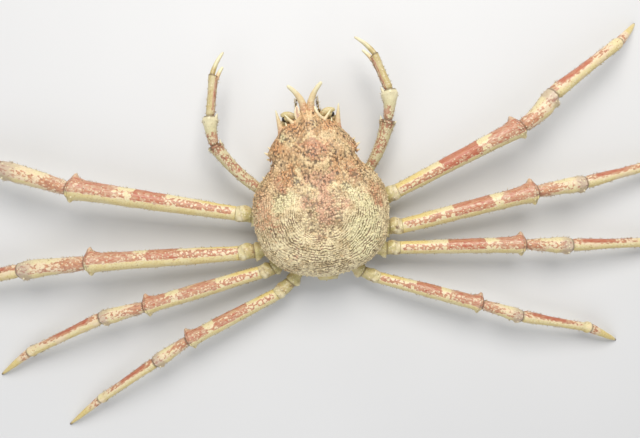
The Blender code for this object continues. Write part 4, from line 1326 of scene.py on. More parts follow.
def segment_masks(part, share, turn, places, length, limb, salt):
    """Colour masks of one segment from its share along the limb and its turn round it."""
    ragged = blotches(places, 6, salt) * 0.6 + blotches(places, 2.6, salt + 1) * 0.4
    zero = np.zeros_like(ragged)
    hindness = np.cos(turn) + zero
    under = eased(-np.sin(turn) + zero, 0.1, 0.8)
    above, turned, is_claw = 1 - under, (hindness, under), "patch" not in limb
    wall, middle = scallops(places, 2.7 if is_claw else 4.6, salt)
    red, mottle, violet = zero, zero + 0.2, zero
    yellow = 0.35 + 0.45 * eased(hindness, 0.1, 0.8)
    from_end, from_start = (1 - share) * length, share * length
    dark = zero + END_LINE.get(part, USUAL_END_LINE) * peak(from_end, 0.5, 0.7)
    dark = dark + START_LINE.get(part, USUAL_START_LINE) * peak(from_start, 0.6, 0.8)
    if part == "merus":
        dark = dark + 0.55 * peak(from_end - 0.5 * ragged, 3.2, 0.45)
    if part == "merus" and is_claw:
        red, mottle, yellow = claw_merus_masks(share, turned, ragged, wall)
        hinge = peak(hindness, -0.62, 0.16) + peak(hindness, 0.62, 0.16)
        dark = dark + 0.9 * peak(from_end, 2, 1.1) * hinge * above
    elif part == "merus":
        bare = eased(blotches(places * [0.4, 1, 1], 9, salt + 5), 0, 0.5)
        red, mottle, yellow = merus_masks(
            share, turned, ragged, (wall, middle), limb["patch"], bare)
    elif part == "carpus":
        red, mottle, yellow, violet = carpus_masks(share, turned, ragged, wall, is_claw)
    elif part == "propodus":
        stripe = eased(-hindness, -0.1, 0.3) * above * eased(share, 0.95, 0.7)
        mottle = 0.22 + (0.2 + 0.22 * wall) * stripe - 0.1 * under
        red = 0.9 * eased(-hindness, 0.1, 0.5) * above * eased(share, 0.05, 0.15)
        red = red * eased(share + 0.1 * ragged, 0.72, 0.5)
    elif part == "dactylus":
        mottle = zero + 0.5 * eased(share, 0.5, 0.1)
        yellow = zero + 0.5 + 0.5 * eased(share, 0, 0.6)
        dark = dark + 0.8 * eased(share, 0.86, 1)
    elif part == "hip":
        mottle = 0.2 + 0.3 * ragged + 0.12 * eased(share, 0.5, 0.6)
        yellow = 0.6 + 0.9 * ragged
        dark = dark + 0.75 * peak((share - 0.53) * length + 0.6 * ragged, 0, 0.7)
        slant = (share - 0.84) * length + 2.4 * hindness + 1.6 * ragged
        dark = dark + 0.28 * peak(slant, 0, 0.9) * eased(np.sin(turn), -0.2, 0.3)
        dark = dark + 0.5 * eased(ragged, 0.28, 0.62) * eased(share, 0.5, 0.58)
    elif part == "palm":
        mottle = 0.24 + 0.4 * eased(-hindness, 0.35, 0.7) * (0.5 + 0.5 * wall) * above
        red = 0.72 * peak(hindness, -0.62, 0.22) * above
        red = red * eased(share, 0.05, 0.2) * eased(share, 0.92, 0.78)
        yellow = 0.85 + 0.35 * ragged + 0.2 * eased(share, 0.75, 0.95)
    elif part == "finger":
        yellow = zero + 0.9 * eased(share, 0.5, 0.1)
        mottle = zero + 0.15 * eased(share, 0.3, 0)
    masks = {"red": red, "mottle": mottle, "yellow": yellow, "dark": dark, "violet": violet}
    return {name: np.clip(mask, 0, 1) for name, mask in masks.items()}


# %% [markdown]
# ### One segment
# The skin of a segment is one grid of rings. Its width comes from the table, the knobs and low
# lumps are added along the ring's own directions, and the grid is closed by a fan at both ends.
# The beads and the bristles that stand on it are gathered here and made once for the whole limb.


# %% One segment
def segment_width(part, limb, share, length):
    """Width along the segment, with the folds of a hip and the collar of a merus added."""
    width = curve_through(segment_rings(part, limb["widths"]), share)
    if part == "hip":
        fold = peak(share, 0.53, 1.1 / length) + 0.3 * peak(share, 0.84, 0.8 / length)
        return width * (1 - 0.13 * fold + 0.05 * peak(share, 0.45, 2.2 / length))
    if part == "merus":
        return width * (1 - 0.035 * peak((1 - share) * length, 3.4, 0.7))
    return width


def bead_places(first, band, own):
    """Grid places that are closest to a bead's middle, in the band, and not at the ends."""
    chosen = is_lowest(first) & (first < 0.45) & (band > 0.4) & (own > 0.25)
    chosen[:4], chosen[-6:] = False, False
    return np.nonzero(chosen)


BRISTLE_SPACING = {"merus": 3, "carpus": 2.4, "propodus": 2.6, "palm": 2.6}
BRISTLE_STRIPS = 60            # segments side by side on the limbs' unwrap
FINISHES = {"leg": LEG_FINISH, "claw": CLAW_FINISH}
SLOTS = {("leg", "hip"): "leg_root", ("leg", "dactylus"): "leg_tip"}


def bristle_places(part, length, rows, sides, dice):
    """Rows and columns of the grid where tufts stand: two ragged lines, fore edge and hind edge."""
    count = int(length / BRISTLE_SPACING.get(part, 1e9))
    row = dice.uniform(0.05, 0.95, (2, count)) * (rows - 1)
    turn = dice.normal(0, 0.3, (2, count)) + np.array([[HIND], [FORE]])
    column = np.rint(turn / (2 * math.pi) * sides).astype(int) % sides
    return row.astype(int).ravel(), column.ravel()


def build_segment(name, part, limb, start, end, faces, bow, side, number):
    """One segment: its widths carried along its line, plus knobs and lumps, closed at both ends.

    Gives back the beads that stand on it, as places, directions and sizes, and the bristle tufts,
    as places, directions and places on the limbs' unwrap: one strip a segment, turn by share.
    """
    kind = name.split("_")[0]
    rows, sides = SEGMENT_GRIDS[part]
    share, centre, forward, hind, up = carried_frame(start, end, faces, bow, side, rows)
    length = np.linalg.norm(end - start)
    turn = turns(sides)
    width = segment_width(part, limb, share, length)
    ring = spun(hind, up, turn)
    places = np.stack([share * length + 0 * turn, np.cos(turn) * width / 2,
                       np.sin(turn) * width / 2], -1)
    places = places + np.array([number * 37, number * 11, 0])
    knobs, widest = KNOBS.get((kind, part), []), float(width.max())
    if (kind, part) == ("leg", "hip"):
        knobs = knobs + [((1 - HIP_LOBE[0]) * length / widest,) + HIP_LOBE[1:]]
    bumps = knob_field(share, turn, length, widest, knobs)
    lumps = blotches(places, 11, 3) * 0.016 * width + blotches(places, 3.4, 4) * 0.12
    first, _, own = pebbles(places, 3, channel=5)
    edge = limb["patch"][3] if "patch" in limb else 0.4
    band = bead_band(part, np.cos(turn) + 0 * share, edge)
    beaded = band * (own > 0.25)
    calm = eased(share, 0, 0.03) * eased(1 - share, 0, 0.03)
    lift = (lumps + 0.12 * eased(0.42 - first, 0, 0.25) * beaded) * calm + bumps
    points = centre[:, None, :] + ring * (width / 2 * 0.968 + lift)[..., None]
    if part == "dactylus":
        points[..., 2] = np.maximum(points[..., 2], 0)
    masks = segment_masks(part, share, turn, places, length, limb, 20 + number)
    pale_end = {"hip": 0.35 * eased(share, 0.74, 0.9), "finger": eased(share, 0.25, 0.8),
                "carpus": 0.7 * (kind == "claw") * eased(share, 0.45, 0.8)}.get(part, 0)
    masks["rise"] = np.clip(
        0.85 * eased(0.36 - first, 0, 0.08) * beaded * calm
        + 0.8 * eased(bumps, 0.045 * widest, 0.12 * widest) + pale_end, 0, 1)
    whole = points.shape[:2]
    values = {key: np.append(np.broadcast_to(mask, whole), [0, 0])
              for key, mask in masks.items()}
    values["place"] = np.concatenate([places.reshape(-1, 3), places[[0, -1], 0]]) * MM
    flat, groups = closed_tube(points)
    make_piece(name + "_" + part + "_cuticle", flat, groups,
               HIP_FINISH if part == "hip" else FINISHES[kind], SLOTS.get((kind, part), kind),
               [name + "_" + part], values)
    at = bead_places(first, band, own)
    tuft = bristle_places(part, length, rows, sides, np.random.default_rng(number))
    unwrap = np.stack([(number + tuft[1] / sides) / BRISTLE_STRIPS, share[tuft[0], 0]], -1)
    tufts = points[tuft], ring[tuft] + 0.8 * forward[tuft[0]], unwrap
    return (points[at], ring[at], 0.45 + 0.65 * own[at]), tufts


# %% [markdown]
# ### Whole limbs
# A limb's segments meet at planes that halve the angle between them, with a small gap. Its beads
# and spines are one piece and its bristles another, because each is hundreds of small cones.

# %% Whole limbs
# Segment, share along it, number of the width, how far off the middle (+ hind, - fore), tilt up,
# radius and length, the lengths as shares of that width
LIMB_SPINES = {
    "leg": [(0, 0.42, 0, 0.3, -0.35, 0.2, 0.52), (1, 0.955, 3, 0.34, 0.9, 0.12, 0.24),
            (1, 0.94, 3, -0.34, 0.9, 0.12, 0.22), (2, 0.91, 5, 0.36, 0.5, 0.1, 0.22)],
    "claw": [(1, 0.93, 3, 0.4, 0.3, 0.13, 0.42), (1, 0.93, 3, -0.4, 0.3, 0.13, 0.42),
             (2, 0.86, 5, -0.34, 0.3, 0.17, 0.48)],
}
SPINE_LEAN = {"leg": 0.3, "claw": 1.5}      # how much they lean outwards along the limb


def limb_spines(kind, limb, joints, side):
    """Feet, directions, radii and lengths of a limb's spines, worked out from their table."""
    spines = []
    for k, at, place, off, tilt, radius_of, reach in LIMB_SPINES[kind]:
        width, way_out = limb["widths"][place], joints[k + 1] - joints[k]
        hind, up = facing(unit(way_out), side)
        way = unit(hind * math.copysign(1, off) + up * tilt)
        foot = joints[k] + way_out * at + way * abs(off) * width
        lean = SPINE_LEAN[kind] * unit(way_out)
        spines.append((foot, way + lean, radius_of * width, reach * width))
    return [np.array(values) for values in zip(*spines)]


def build_limb(name, limb, segments, number):
    """All segments of one limb from the hip outwards, and the beads, spines and bristles on them."""
    kind, side = name.split("_")[0], 1 if "left" in name else -1
    joints, faces = limb_joints(limb, segments, side)
    if kind == "leg":
        joints[-1][2] = TIP_WIDTH * 0.3
    beads, tufts = [], []
    for k, part in enumerate(segments):
        hind, up = facing(unit(joints[k + 1] - joints[k]), side)
        start = joints[k] + faces[k] * GAP / 2
        end = joints[k + 1] - faces[k + 1] * GAP / 2
        bow = up * RISE_OF_MIDDLE.get(part, 0)
        if len(limb[part]) > 3:
            bow = bow + hind * limb[part][3]
        ends = [faces[k], faces[k + 1]]
        if part == "finger":
            start, ends[1] = start + hind * FINGER_OFFSET, None
        bead, tuft = build_segment(name, part, limb, start, end, ends, bow, side, number * 5 + k)
        beads.append(bead)
        tufts.append(tuft)
    places, outs, sizes = (np.concatenate(values) for values in zip(*beads))
    small = studs(places, outs, 0.78 * sizes, 0.55 * sizes, 5, BEAD_PROFILE)
    spines = studs(*limb_spines(kind, limb, joints, side), 12, SPINE_PROFILE)
    points, groups, height = joined([small[:3], spines[:3]])
    masks = {key: 0 * height for key in ("red", "mottle", "dark", "violet")}
    masks.update(rise=eased(height, -0.2, 0.6), yellow=0.2 + 0 * height, place=points * MM)
    make_piece(name + "_beads", points, groups, FINISHES[kind], kind, [name + "_merus"], masks)
    roots, outs, unwrap = (np.concatenate(values) for values in zip(*tufts))
    dice = np.random.default_rng(number + 90)
    points, groups, height, bake = hair_tufts(roots, outs, unwrap, 2, 0.1, 0.35, dice)
    make_piece(name + "_bristles", points, groups, BRISTLE_FINISH, kind, [name + "_merus"],
               {"tip": height}, bake)


# %% Legs and claw arms
for number, (name, limb) in enumerate(LEGS.items()):
    build_limb(name, limb, LEG_SEGMENTS, number)
for number, (name, limb) in enumerate(CLAWS.items()):
    build_limb(name, limb, CLAW_SEGMENTS, number + 8)

# %% [markdown]
# ### Tubercles and spines of the carapace
# Every granule carries a small blunt point, and a few hundred are big enough to stand out as
# tubercles, with a row of them along the edge. Round the eyes and on the cheeks stand true
# spines. All of them are made by the helper for small cones.

# %% Tubercles of the shell
SEED = 11
TUBERCLES_ON_BACK = 190
TUBERCLES_ON_MARGIN = 18
TUBERCLE_RADIUS = 1.35
TUBERCLE_HEIGHT = 1.35


def back_normal(angle, share):
    """Outward direction of the back, from two small steps along it."""
    here = back_points(angle, share)
    along = back_points(angle, np.minimum(0.995, share + 0.01)) - here
    normal = unit(np.cross(back_points(angle + 0.01, share) - here, along))
    return normal * np.sign(normal[..., 2:3])


def tubercle_table():
    """Angle, share and size of the big tubercles: a sunflower spiral, then the two edges."""
    draw = random.Random(SEED)
    golden = math.pi * (3 - math.sqrt(5))
    table = []
    for k in range(TUBERCLES_ON_BACK):
        turn = (k * golden + draw.uniform(-0.05, 0.05) + math.pi) % (2 * math.pi) - math.pi
        share_out = math.sqrt((k + 0.5) / TUBERCLES_ON_BACK) * 0.95
        table.append((turn, share_out, draw.uniform(0.75, 1.3), 0))
    for side in (-1, 1):
        for k in range(TUBERCLES_ON_MARGIN):
            turn = 60 + 108 * k / (TUBERCLES_ON_MARGIN - 1) + draw.uniform(-1.5, 1.5)
            up = draw.uniform(0.1, 0.5)
            table.append((side * math.radians(turn), 0.985, draw.uniform(0.8, 1.2), up))
    return np.array(table)


def granule_tops():
    """Places where the grid comes closest to a granule's middle, away from the grid's edge."""
    return np.nonzero(is_lowest(grain_middle) & (grain_middle < 0.42) & (radius < 0.95))


def build_tubercles():
    """Big tubercles and the points of the granules, joined, with the shell's own colour masks."""
    turn, out_share, size, up = tubercle_table().T
    places = back_points(turn, out_share)
    leaned = back_normal(turn, out_share) + np.array([0, -0.15, 0])
    level = np.stack([np.sin(turn), -np.cos(turn), up], -1)
    outs = np.where((out_share > 0.97)[:, None], level, leaned)
    big = studs(places, outs, TUBERCLE_RADIUS * np.sqrt(size), TUBERCLE_HEIGHT * size)
    at = granule_tops()
    tops = shell_points[at]
    small_outs = grid_normals(shell_base)[at] + np.array([0, -0.12, 0])
    dice = np.random.default_rng(SEED)
    grown = dice.uniform(0.45, 1.2, len(tops)) * (0.45 + 0.55 * eased(tops[:, 1], -60, -20))
    small = studs(tops, small_outs, 0.8 * grown, 0.65 * grown, 5, GRANULE_PROFILE)
    points, groups, height = joined([big[:3], small[:3]])
    shown = np.concatenate([0.35 + 0.35 * big[2], 0.42 + 0.38 * small[2]])
    masks = shell_masks(points, np.clip(shown, 0, 1), ridge_share(points), 0 * height)
    print("big tubercles:", len(places), "granule points:", len(tops))
    return make_piece("carapace_tubercles", points, groups, CARAPACE_FINISH, "shell",
                      ["carapace"], masks)


build_tubercles()

# %% [markdown]
# ### Spines round the eyes and on the cheeks
# A strong spine stands behind each eye, a shorter one on the brow and a small one above the eye;
# short ones sit on the cheek and the shoulder. They bend slightly forward, are salmon like the
# shell at the foot and bleach to white at the tip.

# %% Spine material
TIP_WHITE = (0.76, 0.7, 0.45, 1)


def spine_material(name, foot, middle, grain):
    """Foot colour to cream to white, by a ragged version of the height mask."""
    material, tree = begun_material(name, 0.38, 0.15, 0.25)
    place = place_on(tree)
    height = stirred(tree, mask_of(tree, "tip"), noise_at(tree, place, grain, 4), 0.7)
    colour = graded(tree, foot, middle, height, 0.05, 0.45)
    colour = graded(tree, colour, TIP_WHITE, height, 0.55, 0.95)
    fleck, root = noise_at(tree, place, 520, 3), ranged(tree, height, 0.1, 0.6, 1, 0.15)
    colour = laid_on(tree, colour, ranged(tree, fleck, 0.34, 0.48, 0.65, 0), SHELL_RED, root)
    colour = laid_on(tree, colour, ranged(tree, fleck, 0.54, 0.66, 0, 0.6), SHELL_LIGHT, root)
    specks = use_group(tree, SPECKS, Place=place, Scale=300, Radius=0.15, Share=0.12)
    colour = laid_on(tree, colour, specks, PIT_BROWN, 0.5)
    relief = use_group(tree, FINE_RELIEF, Place=place, Scale=1200)
    return painted(material, colour, relief, 0.25, 0.0003)


SPINE_FINISH = spine_material("spine_cuticle", (0.58, 0.33, 0.19, 1),
                              (0.7, 0.54, 0.31, 1), 500)


# %% Spines of the shell
# Foot, tip and foot radius, on both sides: behind the eye, brow, small one above the eye, cheek,
# behind the cheek, before the cheek, shoulder
SHELL_SPINES = np.array([
    (29, -78.5, 42, 32.5, -101.5, 50, 3.7), (16, -86.2, 48.5, 24.2, -96.6, 47.5, 2.2),
    (22.8, -81, 44.5, 23.9, -88.6, 46, 2.2), (43.5, -58, 41, 50, -61.5, 41.8, 2.3),
    (44.5, -54, 38, 49, -55, 37.5, 1.8), (41.5, -63, 42, 45.4, -66.8, 43.3, 1.9),
    (50.5, -34, 39, 55, -37.9, 40.5, 2),
])


def build_shell_spines():
    """Both sides' spines as slim cones with a flared foot, joined into one piece."""
    both = np.concatenate([SHELL_SPINES, SHELL_SPINES * [-1, 1, 1, -1, 1, 1, 1]])
    foot, tip, radius_of = both[:, :3], both[:, 3:6], both[:, 6]
    points, groups, height, _ = studs(
        foot, tip - foot, radius_of, np.linalg.norm(tip - foot, axis=1), 14, SPINE_PROFILE)
    brow = (points[:, 1] < -85) * (np.abs(points[:, 0]) < 25)
    tip = np.clip(height * (1 - 0.25 * brow) + 0.35 * brow, 0, 1)
    return make_piece("carapace_spines", points, groups, SPINE_FINISH, "shell", ["carapace"],
                      {"tip": tip})


build_shell_spines()

# %% [markdown]
# ## Horns, eyes and feelers
# Two slender horns fork from the snout, pale as bone at their tips, and a blade stands on either
# side of them. Each eye is a black bead on a short yellowish stalk that points out sideways, under
# a granular hood. Under the horns sit the stout bases of the feelers, each with a thin ringed
# whip. All are tubes carried along a line, like the limbs, and the right side mirrors the left.

# %% Head materials
HORN_FINISH = spine_material("horn_cuticle", (0.58, 0.34, 0.18, 1),
                             (0.7, 0.56, 0.32, 1), 160)
BLADE_FINISH = spine_material("blade_cuticle", (0.47, 0.31, 0.23, 1),
                              (0.72, 0.59, 0.37, 1), 300)
STALK_FINISH = spine_material("stalk_cuticle", (0.3, 0.235, 0.1, 1),
                              (0.56, 0.47, 0.23, 1), 600)
EYE_TONES = ((0.016, 0.012, 0.01, 1), (0.004, 0.004, 0.005, 1))


def eye_material():
    """Nearly black and glossy, with a faint pattern of facets in colour and relief."""
    material, tree = begun_material("eye_black", 0.12, 0.6, 0.05)
    facets = put(tree, "ShaderNodeTexVoronoi", {"Vector": place_on(tree), "Scale": 4500})
    facets = facets.outputs["Distance"]
    colour = blend(tree, ranged(tree, facets, 0.1, 0.7), *EYE_TONES)
    return painted(material, colour, facets, 0.15, 0.0001)


EYE_FINISH = eye_material()

# %% Head pieces
NO_FACES = (None, None)
NO_BOW = (0, 0, 0)
LEAF_GRID = (60, 40)           # rings and points round each


def carried_tube(start, end, bow, rings, rows, sides, flat=1, relief=None, side=1):
    """A tube of (share, width) rings along a bowed line, closed at both ends, with its shares.

    relief gives extra height in millimetres for each (share, turn, point). The places are told
    for the left side of the animal; side -1 turns their x over.
    """
    flip = np.array([side, 1, 1])
    start, end, bow = flip * start, flip * end, flip * bow
    share, centre, _, hind, up = carried_frame(start, end, NO_FACES, bow, 1, rows)
    turn = turns(sides)
    ring = spun(hind, up, turn, flat)
    points = centre[:, None, :] + ring * (curve_through(rings, share) / 2)[..., None]
    if relief is not None:
        points = points + unit(ring) * relief(share, turn, points)[..., None]
    shares = np.append(np.broadcast_to(share, points.shape[:2]), [0, 1])
    return *closed_tube(points), shares


def rough_foot(share, turn, points):
    """Granules that fade out towards the tip."""
    first, second, _ = pebbles(points, 2.4, channel=31)
    rise = 0.55 * (eased(second - first, 0, 0.4) - 0.5) * eased(share, 0.65, 0.25)
    return rise + 0.12 * blotches(points, 3, 33)


def ringed(share, turn, points):
    """Fine rings of a whip beyond its stout foot."""
    return 0.07 * np.sin(share * 150) * eased(share, 0.5, 0.6)


def lumpy(share, turn, points):
    """Low lumps of the eye's lip."""
    return 0.35 * blotches(points, 2.2, 36)


def dished(share, turn, points):
    """A hollow along the top of a leaf, so that its edges stand up."""
    hollow = 0.9 * peak(np.sin(turn), 1, 0.5) * np.sin(math.pi * share)
    return 0.12 * blotches(points, 2, 35) - hollow


HORN_RINGS = [(0, 9.2), (0.12, 8.8), (0.3, 7.8), (0.5, 6.7), (0.7, 5.5), (0.88, 4.4),
              (0.96, 3.7), (1, 2.3)]
HORN_RINGS = [(share, width * 0.96) for share, width in HORN_RINGS]
STALK_RINGS = [(0, 4), (0.3, 4), (0.55, 4.4), (0.8, 5.6), (0.93, 5), (1, 3.2)]
LIP_RINGS = [(0, 3.6), (0.2, 6.2), (0.45, 6.8), (0.8, 5.2), (0.95, 3.6), (1, 2)]
HOOD_RINGS = [(0, 5), (0.3, 8.4), (0.7, 8.8), (0.92, 6.4), (1, 3.4)]
FEELER_RINGS = [(0, 6), (0.16, 6.2), (0.3, 5.6), (0.34, 4.4), (0.46, 3.8), (0.52, 1.8),
                (0.58, 1.2), (1, 0.6)]
BEAD_RINGS = [(0, 2.2), (0.12, 3.8), (0.35, 5.3), (0.6, 5.4), (0.85, 4), (1, 1.4)]
LEAF_RINGS = [(0, 4.6), (0.25, 6.6), (0.5, 6.4), (0.75, 4.4), (0.92, 2.2), (1, 0.8)]
BAR_RINGS = [(0, 1.8), (0.25, 3), (0.7, 3.2), (0.9, 2.6), (1, 1.2)]

# %% Blades beside the snout
def snout_blade(side):
    """Beside the horns: a hollow pale-edged leaf on the left, a bar bent to the brow opposite."""
    if side > 0:
        points, groups, shares = carried_tube(
            (9.8, -88.5, 49), (10.4, -103.4, 50.5), (0.6, 0, 0.6), LEAF_RINGS, *LEAF_GRID,
            0.4, dished)
        rows, sides = LEAF_GRID
        edge = np.tile(np.abs(np.cos(np.arange(sides) * 2 * math.pi / sides)), rows)
        return points, groups, 0.85 * np.append(edge, [1, 1]) ** 3 + 0.2 * shares
    points, groups, shares = carried_tube(
        (-18.6, -86.2, 47.6), (-7.4, -100.6, 51), (1.7, 1.9, 1.4), BAR_RINGS, 60, 32,
        0.8, rough_foot)
    return points, groups, 0.45 + 0.45 * shares


def head_piece(name, tube, finish, slot, node, foot=0, growth=1):
    """A piece from a tube, whose tip mask is foot + growth times the share along it."""
    points, groups, shares = tube
    return make_piece(name, points, groups, finish, slot, [node], {"tip": foot + growth * shares})


# %% Both sides of the head
# Tubes of the head, told for the left side: start, end, bow, rings, their number and the points
# round each, flatness, relief. Horn, eye stalk, its lip, the eye's bead, its hood, feeler
HEAD_TUBES = (
    ((3.3, -95.5, 48.4), (17.5, -121.5, 60), (-3.9, -1.2, -1.2), HORN_RINGS, 80, 40,
     1, rough_foot),
    ((11, -86.5, 41.5), (25, -94.6, 40.2), NO_BOW, STALK_RINGS, 44, 32, 1, None),
    ((12, -92, 43), (28.3, -96.4, 41.6), (0.5, -2.3, 0.6), LIP_RINGS, 44, 28, 0.62, lumpy),
    ((22.6, -91.9, 39.6), (27.4, -94.4, 39.3), NO_BOW, BEAD_RINGS, 32, 36, 1, None),
    ((15, -87.5, 37), (30, -86, 36), (0, -3.2, 0), HOOD_RINGS, 50, 36,
     0.75, rough_foot),
    ((11.5, -86, 35), (12.2, -113, 40.5), NO_BOW, FEELER_RINGS, 150, 26, 1, ringed),
)


def build_head_side(side, word):
    """One side's horn, eye stalk with its lip, eye, hood, blade and feeler."""
    horn, stalk, lip, bead, hood, whip = (carried_tube(*tube, side) for tube in HEAD_TUBES)
    eye, feeler = "eye_" + word, "antenna_" + word
    head_piece("horn_%s_shell" % word, horn, HORN_FINISH, "horn", "horn_" + word)
    head_piece(eye + "_stalk", joined([stalk, lip]), STALK_FINISH, "eye", eye, 0.15, 0.5)
    make_piece(eye + "_bead", bead[0], bead[1], EYE_FINISH, "eye", [eye])
    head_piece(eye + "_socket", hood, STALK_FINISH, "eye", eye, 0, 0.25)
    points, groups, tip = snout_blade(side)
    make_piece("snout_blade_" + word, points, groups, BLADE_FINISH, "shell", ["carapace"],
               {"tip": tip})
    head_piece(feeler + "_whip", whip, STALK_FINISH, "antenna", feeler, 0, 0.5)


build_head_side(1, "left")
build_head_side(-1, "right")

# %% Bristles of the head and the shell's edge
# Lines of tufts seen from above, on the left side: from, to (x, y, z), number, hair length
HEAD_TUFTS = [
    ((9.6, -110, 47), (11.4, -99, 42), 26, 3.4),
    ((12, -99, 41), (14.5, -92, 39), 14, 3),
    ((15, -95, 43), (28, -97, 42), 12, 2.4),
    ((18, -88, 40), (29, -88.5, 38.5), 9, 2.4),
]
EDGE_TUFTS = 46


def shell_unwrap(places):
    """Places on the shell's own unwrap: seen from above, 240 mm to the map's side."""
    return 0.5 + places[..., :2] / 240


def build_head_bristles():
    """Tufts beside the horns and round the eyes, and short ones along the shell's front edge."""
    dice = np.random.default_rng(SEED)
    coats = []
    for side in (1, -1):
        flip = np.array([side, 1, 1])
        for start, end, count, length in HEAD_TUFTS:
            share = dice.uniform(0, 1, (count, 1))
            roots = np.array(start) * (1 - share) + np.array(end) * share
            roots = (roots + dice.normal(0, 0.5, (count, 3))) * flip
            ways = np.array([0.8, -0.7, 0.6]) * flip + 0 * roots
            coats.append(hair_tufts(roots, ways, shell_unwrap(roots), length, 0.13, 0.4, dice))
        turn = side * np.radians(dice.uniform(22, 96, EDGE_TUFTS))
        roots = back_points(turn, dice.uniform(0.94, 0.99, EDGE_TUFTS))
        ways = np.stack([np.sin(turn), -np.cos(turn) - 0.4, 0.5 + 0 * turn], -1)
        coats.append(hair_tufts(roots, ways, shell_unwrap(roots), 2.2, 0.11, 0.4, dice))
    points, groups, height = joined([coat[:3] for coat in coats])
    bake = np.concatenate([coat[3] for coat in coats])
    return make_piece("shell_bristles", points, groups, BRISTLE_FINISH, "shell", ["carapace"],
                      {"tip": height}, bake)


build_head_bristles()

# %% [markdown]
# ## Underbody
# Below its edge the shell turns in to flanks and a flat breastplate, which is grooved between the
# leg pairs. The tail flap lies folded in the middle of it and curls up behind. The photograph
# doesn't show any of this, so it follows the species: pale yellowish cream, with low granules.

# %% Underbody material
def underside_material():
    """Yellowish cream, warmer in blotches, brown in the grooves."""
    material, tree = begun_material("underbody_cuticle", 0.45, 0.1, 0.3)
    place = place_on(tree)
    broad = noise_at(tree, place, 90, 4)
    colour = graded(tree, LEG_CREAM, LEG_YELLOW, broad, 0.35, 0.7)
    salmon = use_group(tree, MOTTLING, Place=place, Amount=mask_of(tree, "mottle"),
                       Scale=300, Softness=0.1)
    colour = laid_on(tree, colour, salmon, LEG_SALMON, 0.6)
    colour = laid_on(tree, colour, mask_of(tree, "rise"), LEG_WHITE, 0.5)
    colour = blend(tree, mask_of(tree, "dark"), colour, LEG_BROWN)
    relief = use_group(tree, FINE_RELIEF, Place=place, Scale=1100)
    return painted(material, colour, relief, 0.3, 0.0004)


UNDERSIDE_FINISH = underside_material()

# %% Flanks and breastplate
SIDE_COLUMNS = 384
FLANK_ROWS, BELLY_ROWS = 60, 43
GROOVE_DEPTH = 1.3
SUTURES = [(-14, -30), (4, -8), (20, 22), (34, 44)]   # y at the middle, y outside


def underside_masks(grain, mottle, dark):
    """The three masks of the underside's finish for a grid and its two end points."""
    masks = {"rise": grain, "mottle": mottle, "dark": dark}
    return {key: np.append(mask, [0, 0]) for key, mask in masks.items()}


def low_grains(points, size, channel):
    """Rise of the underside's low granules, 0 to 1."""
    first, second, own = pebbles(points, size, channel=channel)
    return eased(second - first, 0.02, 0.4) * (0.5 + 0.5 * own)


def suture_field(points):
    """Bells of the distance to the lines between leg pairs, from the middle to the edge."""
    x, y = np.abs(points[..., 0]), points[..., 1]
    total = np.zeros_like(x)
    for inner, outer in SUTURES:
        line = inner + (outer - inner) * np.clip((x - 14) / 34, 0, 1.5)
        total += peak(y, line, 1.1) * eased(x, 8, 14)
    return total


def build_underbody():
    """Rings from the parting line down the flank, then level rings in to the middle."""
    around = np.linspace(-math.pi, math.pi, SIDE_COLUMNS, endpoint=False)[None, :]
    rim = margin_height(around)
    first_drop = (rim - PARTING_HEIGHT + RIM_GAP) / (rim - BELLY_HEIGHT)
    down = np.linspace(0, 1, FLANK_ROWS)[:, None]
    drop = first_drop + (1 - first_drop) * np.sin(down * math.pi / 2)
    flank = flank_points(around + 0 * down, drop)
    inward = np.linspace(1, 0.02, BELLY_ROWS + 1)[1:, None, None]
    belly = np.concatenate([flank[-1][None, :, :2] * inward,
                            np.full((BELLY_ROWS, SIDE_COLUMNS, 1), BELLY_HEIGHT)], -1)
    points = np.concatenate([flank, belly])
    normals = unit(np.cross(np.gradient(points, axis=1), np.gradient(points, axis=0)))
    grain = low_grains(points, 2.9, 15)
    groove = suture_field(points) * eased(-points[..., 2], -24, -8)
    level = eased(points[..., 2], 5.4, 9)
    lift = (grain - 0.7) * (0.25 + 0.45 * level) - GROOVE_DEPTH * groove
    lift[0], lift[1] = 0, lift[1] * 0.5
    outwards = np.sign((normals * (points - [0, 0, 25])).sum(-1))
    points = points + normals * (outwards * lift)[..., None]
    points[..., 2] = np.maximum(points[..., 2], BELLY_HEIGHT)
    flat, groups = closed_tube(
        points, np.array([[0, 0, points[0, 0, 2]], [0, 0, BELLY_HEIGHT + 0.5]]))
    masks = underside_masks(grain * 0.8, 0.25 + 0.3 * level, np.clip(0.8 * groove, 0, 1))
    return make_piece("underbody_shell", flat, groups, UNDERSIDE_FINISH, "underside",
                      ["thorax"], masks)


build_underbody()

# %% Tail flap
# The tail flap along the middle: y, underside z, half width, thickness, lean in degrees
ABDOMEN = np.array([
    (-37, 0, 3, 6, 0), (-32, 0, 6, 6, 0), (-12, 0, 12, 6, 0),
    (14, 0, 17, 6, 0), (38, 0, 18, 6, 0), (52, 2, 14.5, 7, 24),
    (63.5, 10, 13, 8, 50), (71, 19, 12.5, 8, 70), (74.3, 27.5, 10.5, 7, 82),
])
FLAP_SEAMS = [22, 38, 54, 70, 84, 97, 110]    # ways walked along the flap
FLAP_GRID = (220, 60)          # rings and points round each
# Two blunt teeth on its bend: foot, tip and radius
ABDOMEN_TEETH = np.array([(2, 67, 24, 2, 76, 25, 2.4),
                          (-8.5, 66, 24, -9, 75, 25, 2.2)])
TOOTH_PROFILE = [(1, 0), (0.92, 0.25), (0.75, 0.5), (0.5, 0.75), (0.3, 0.9)]


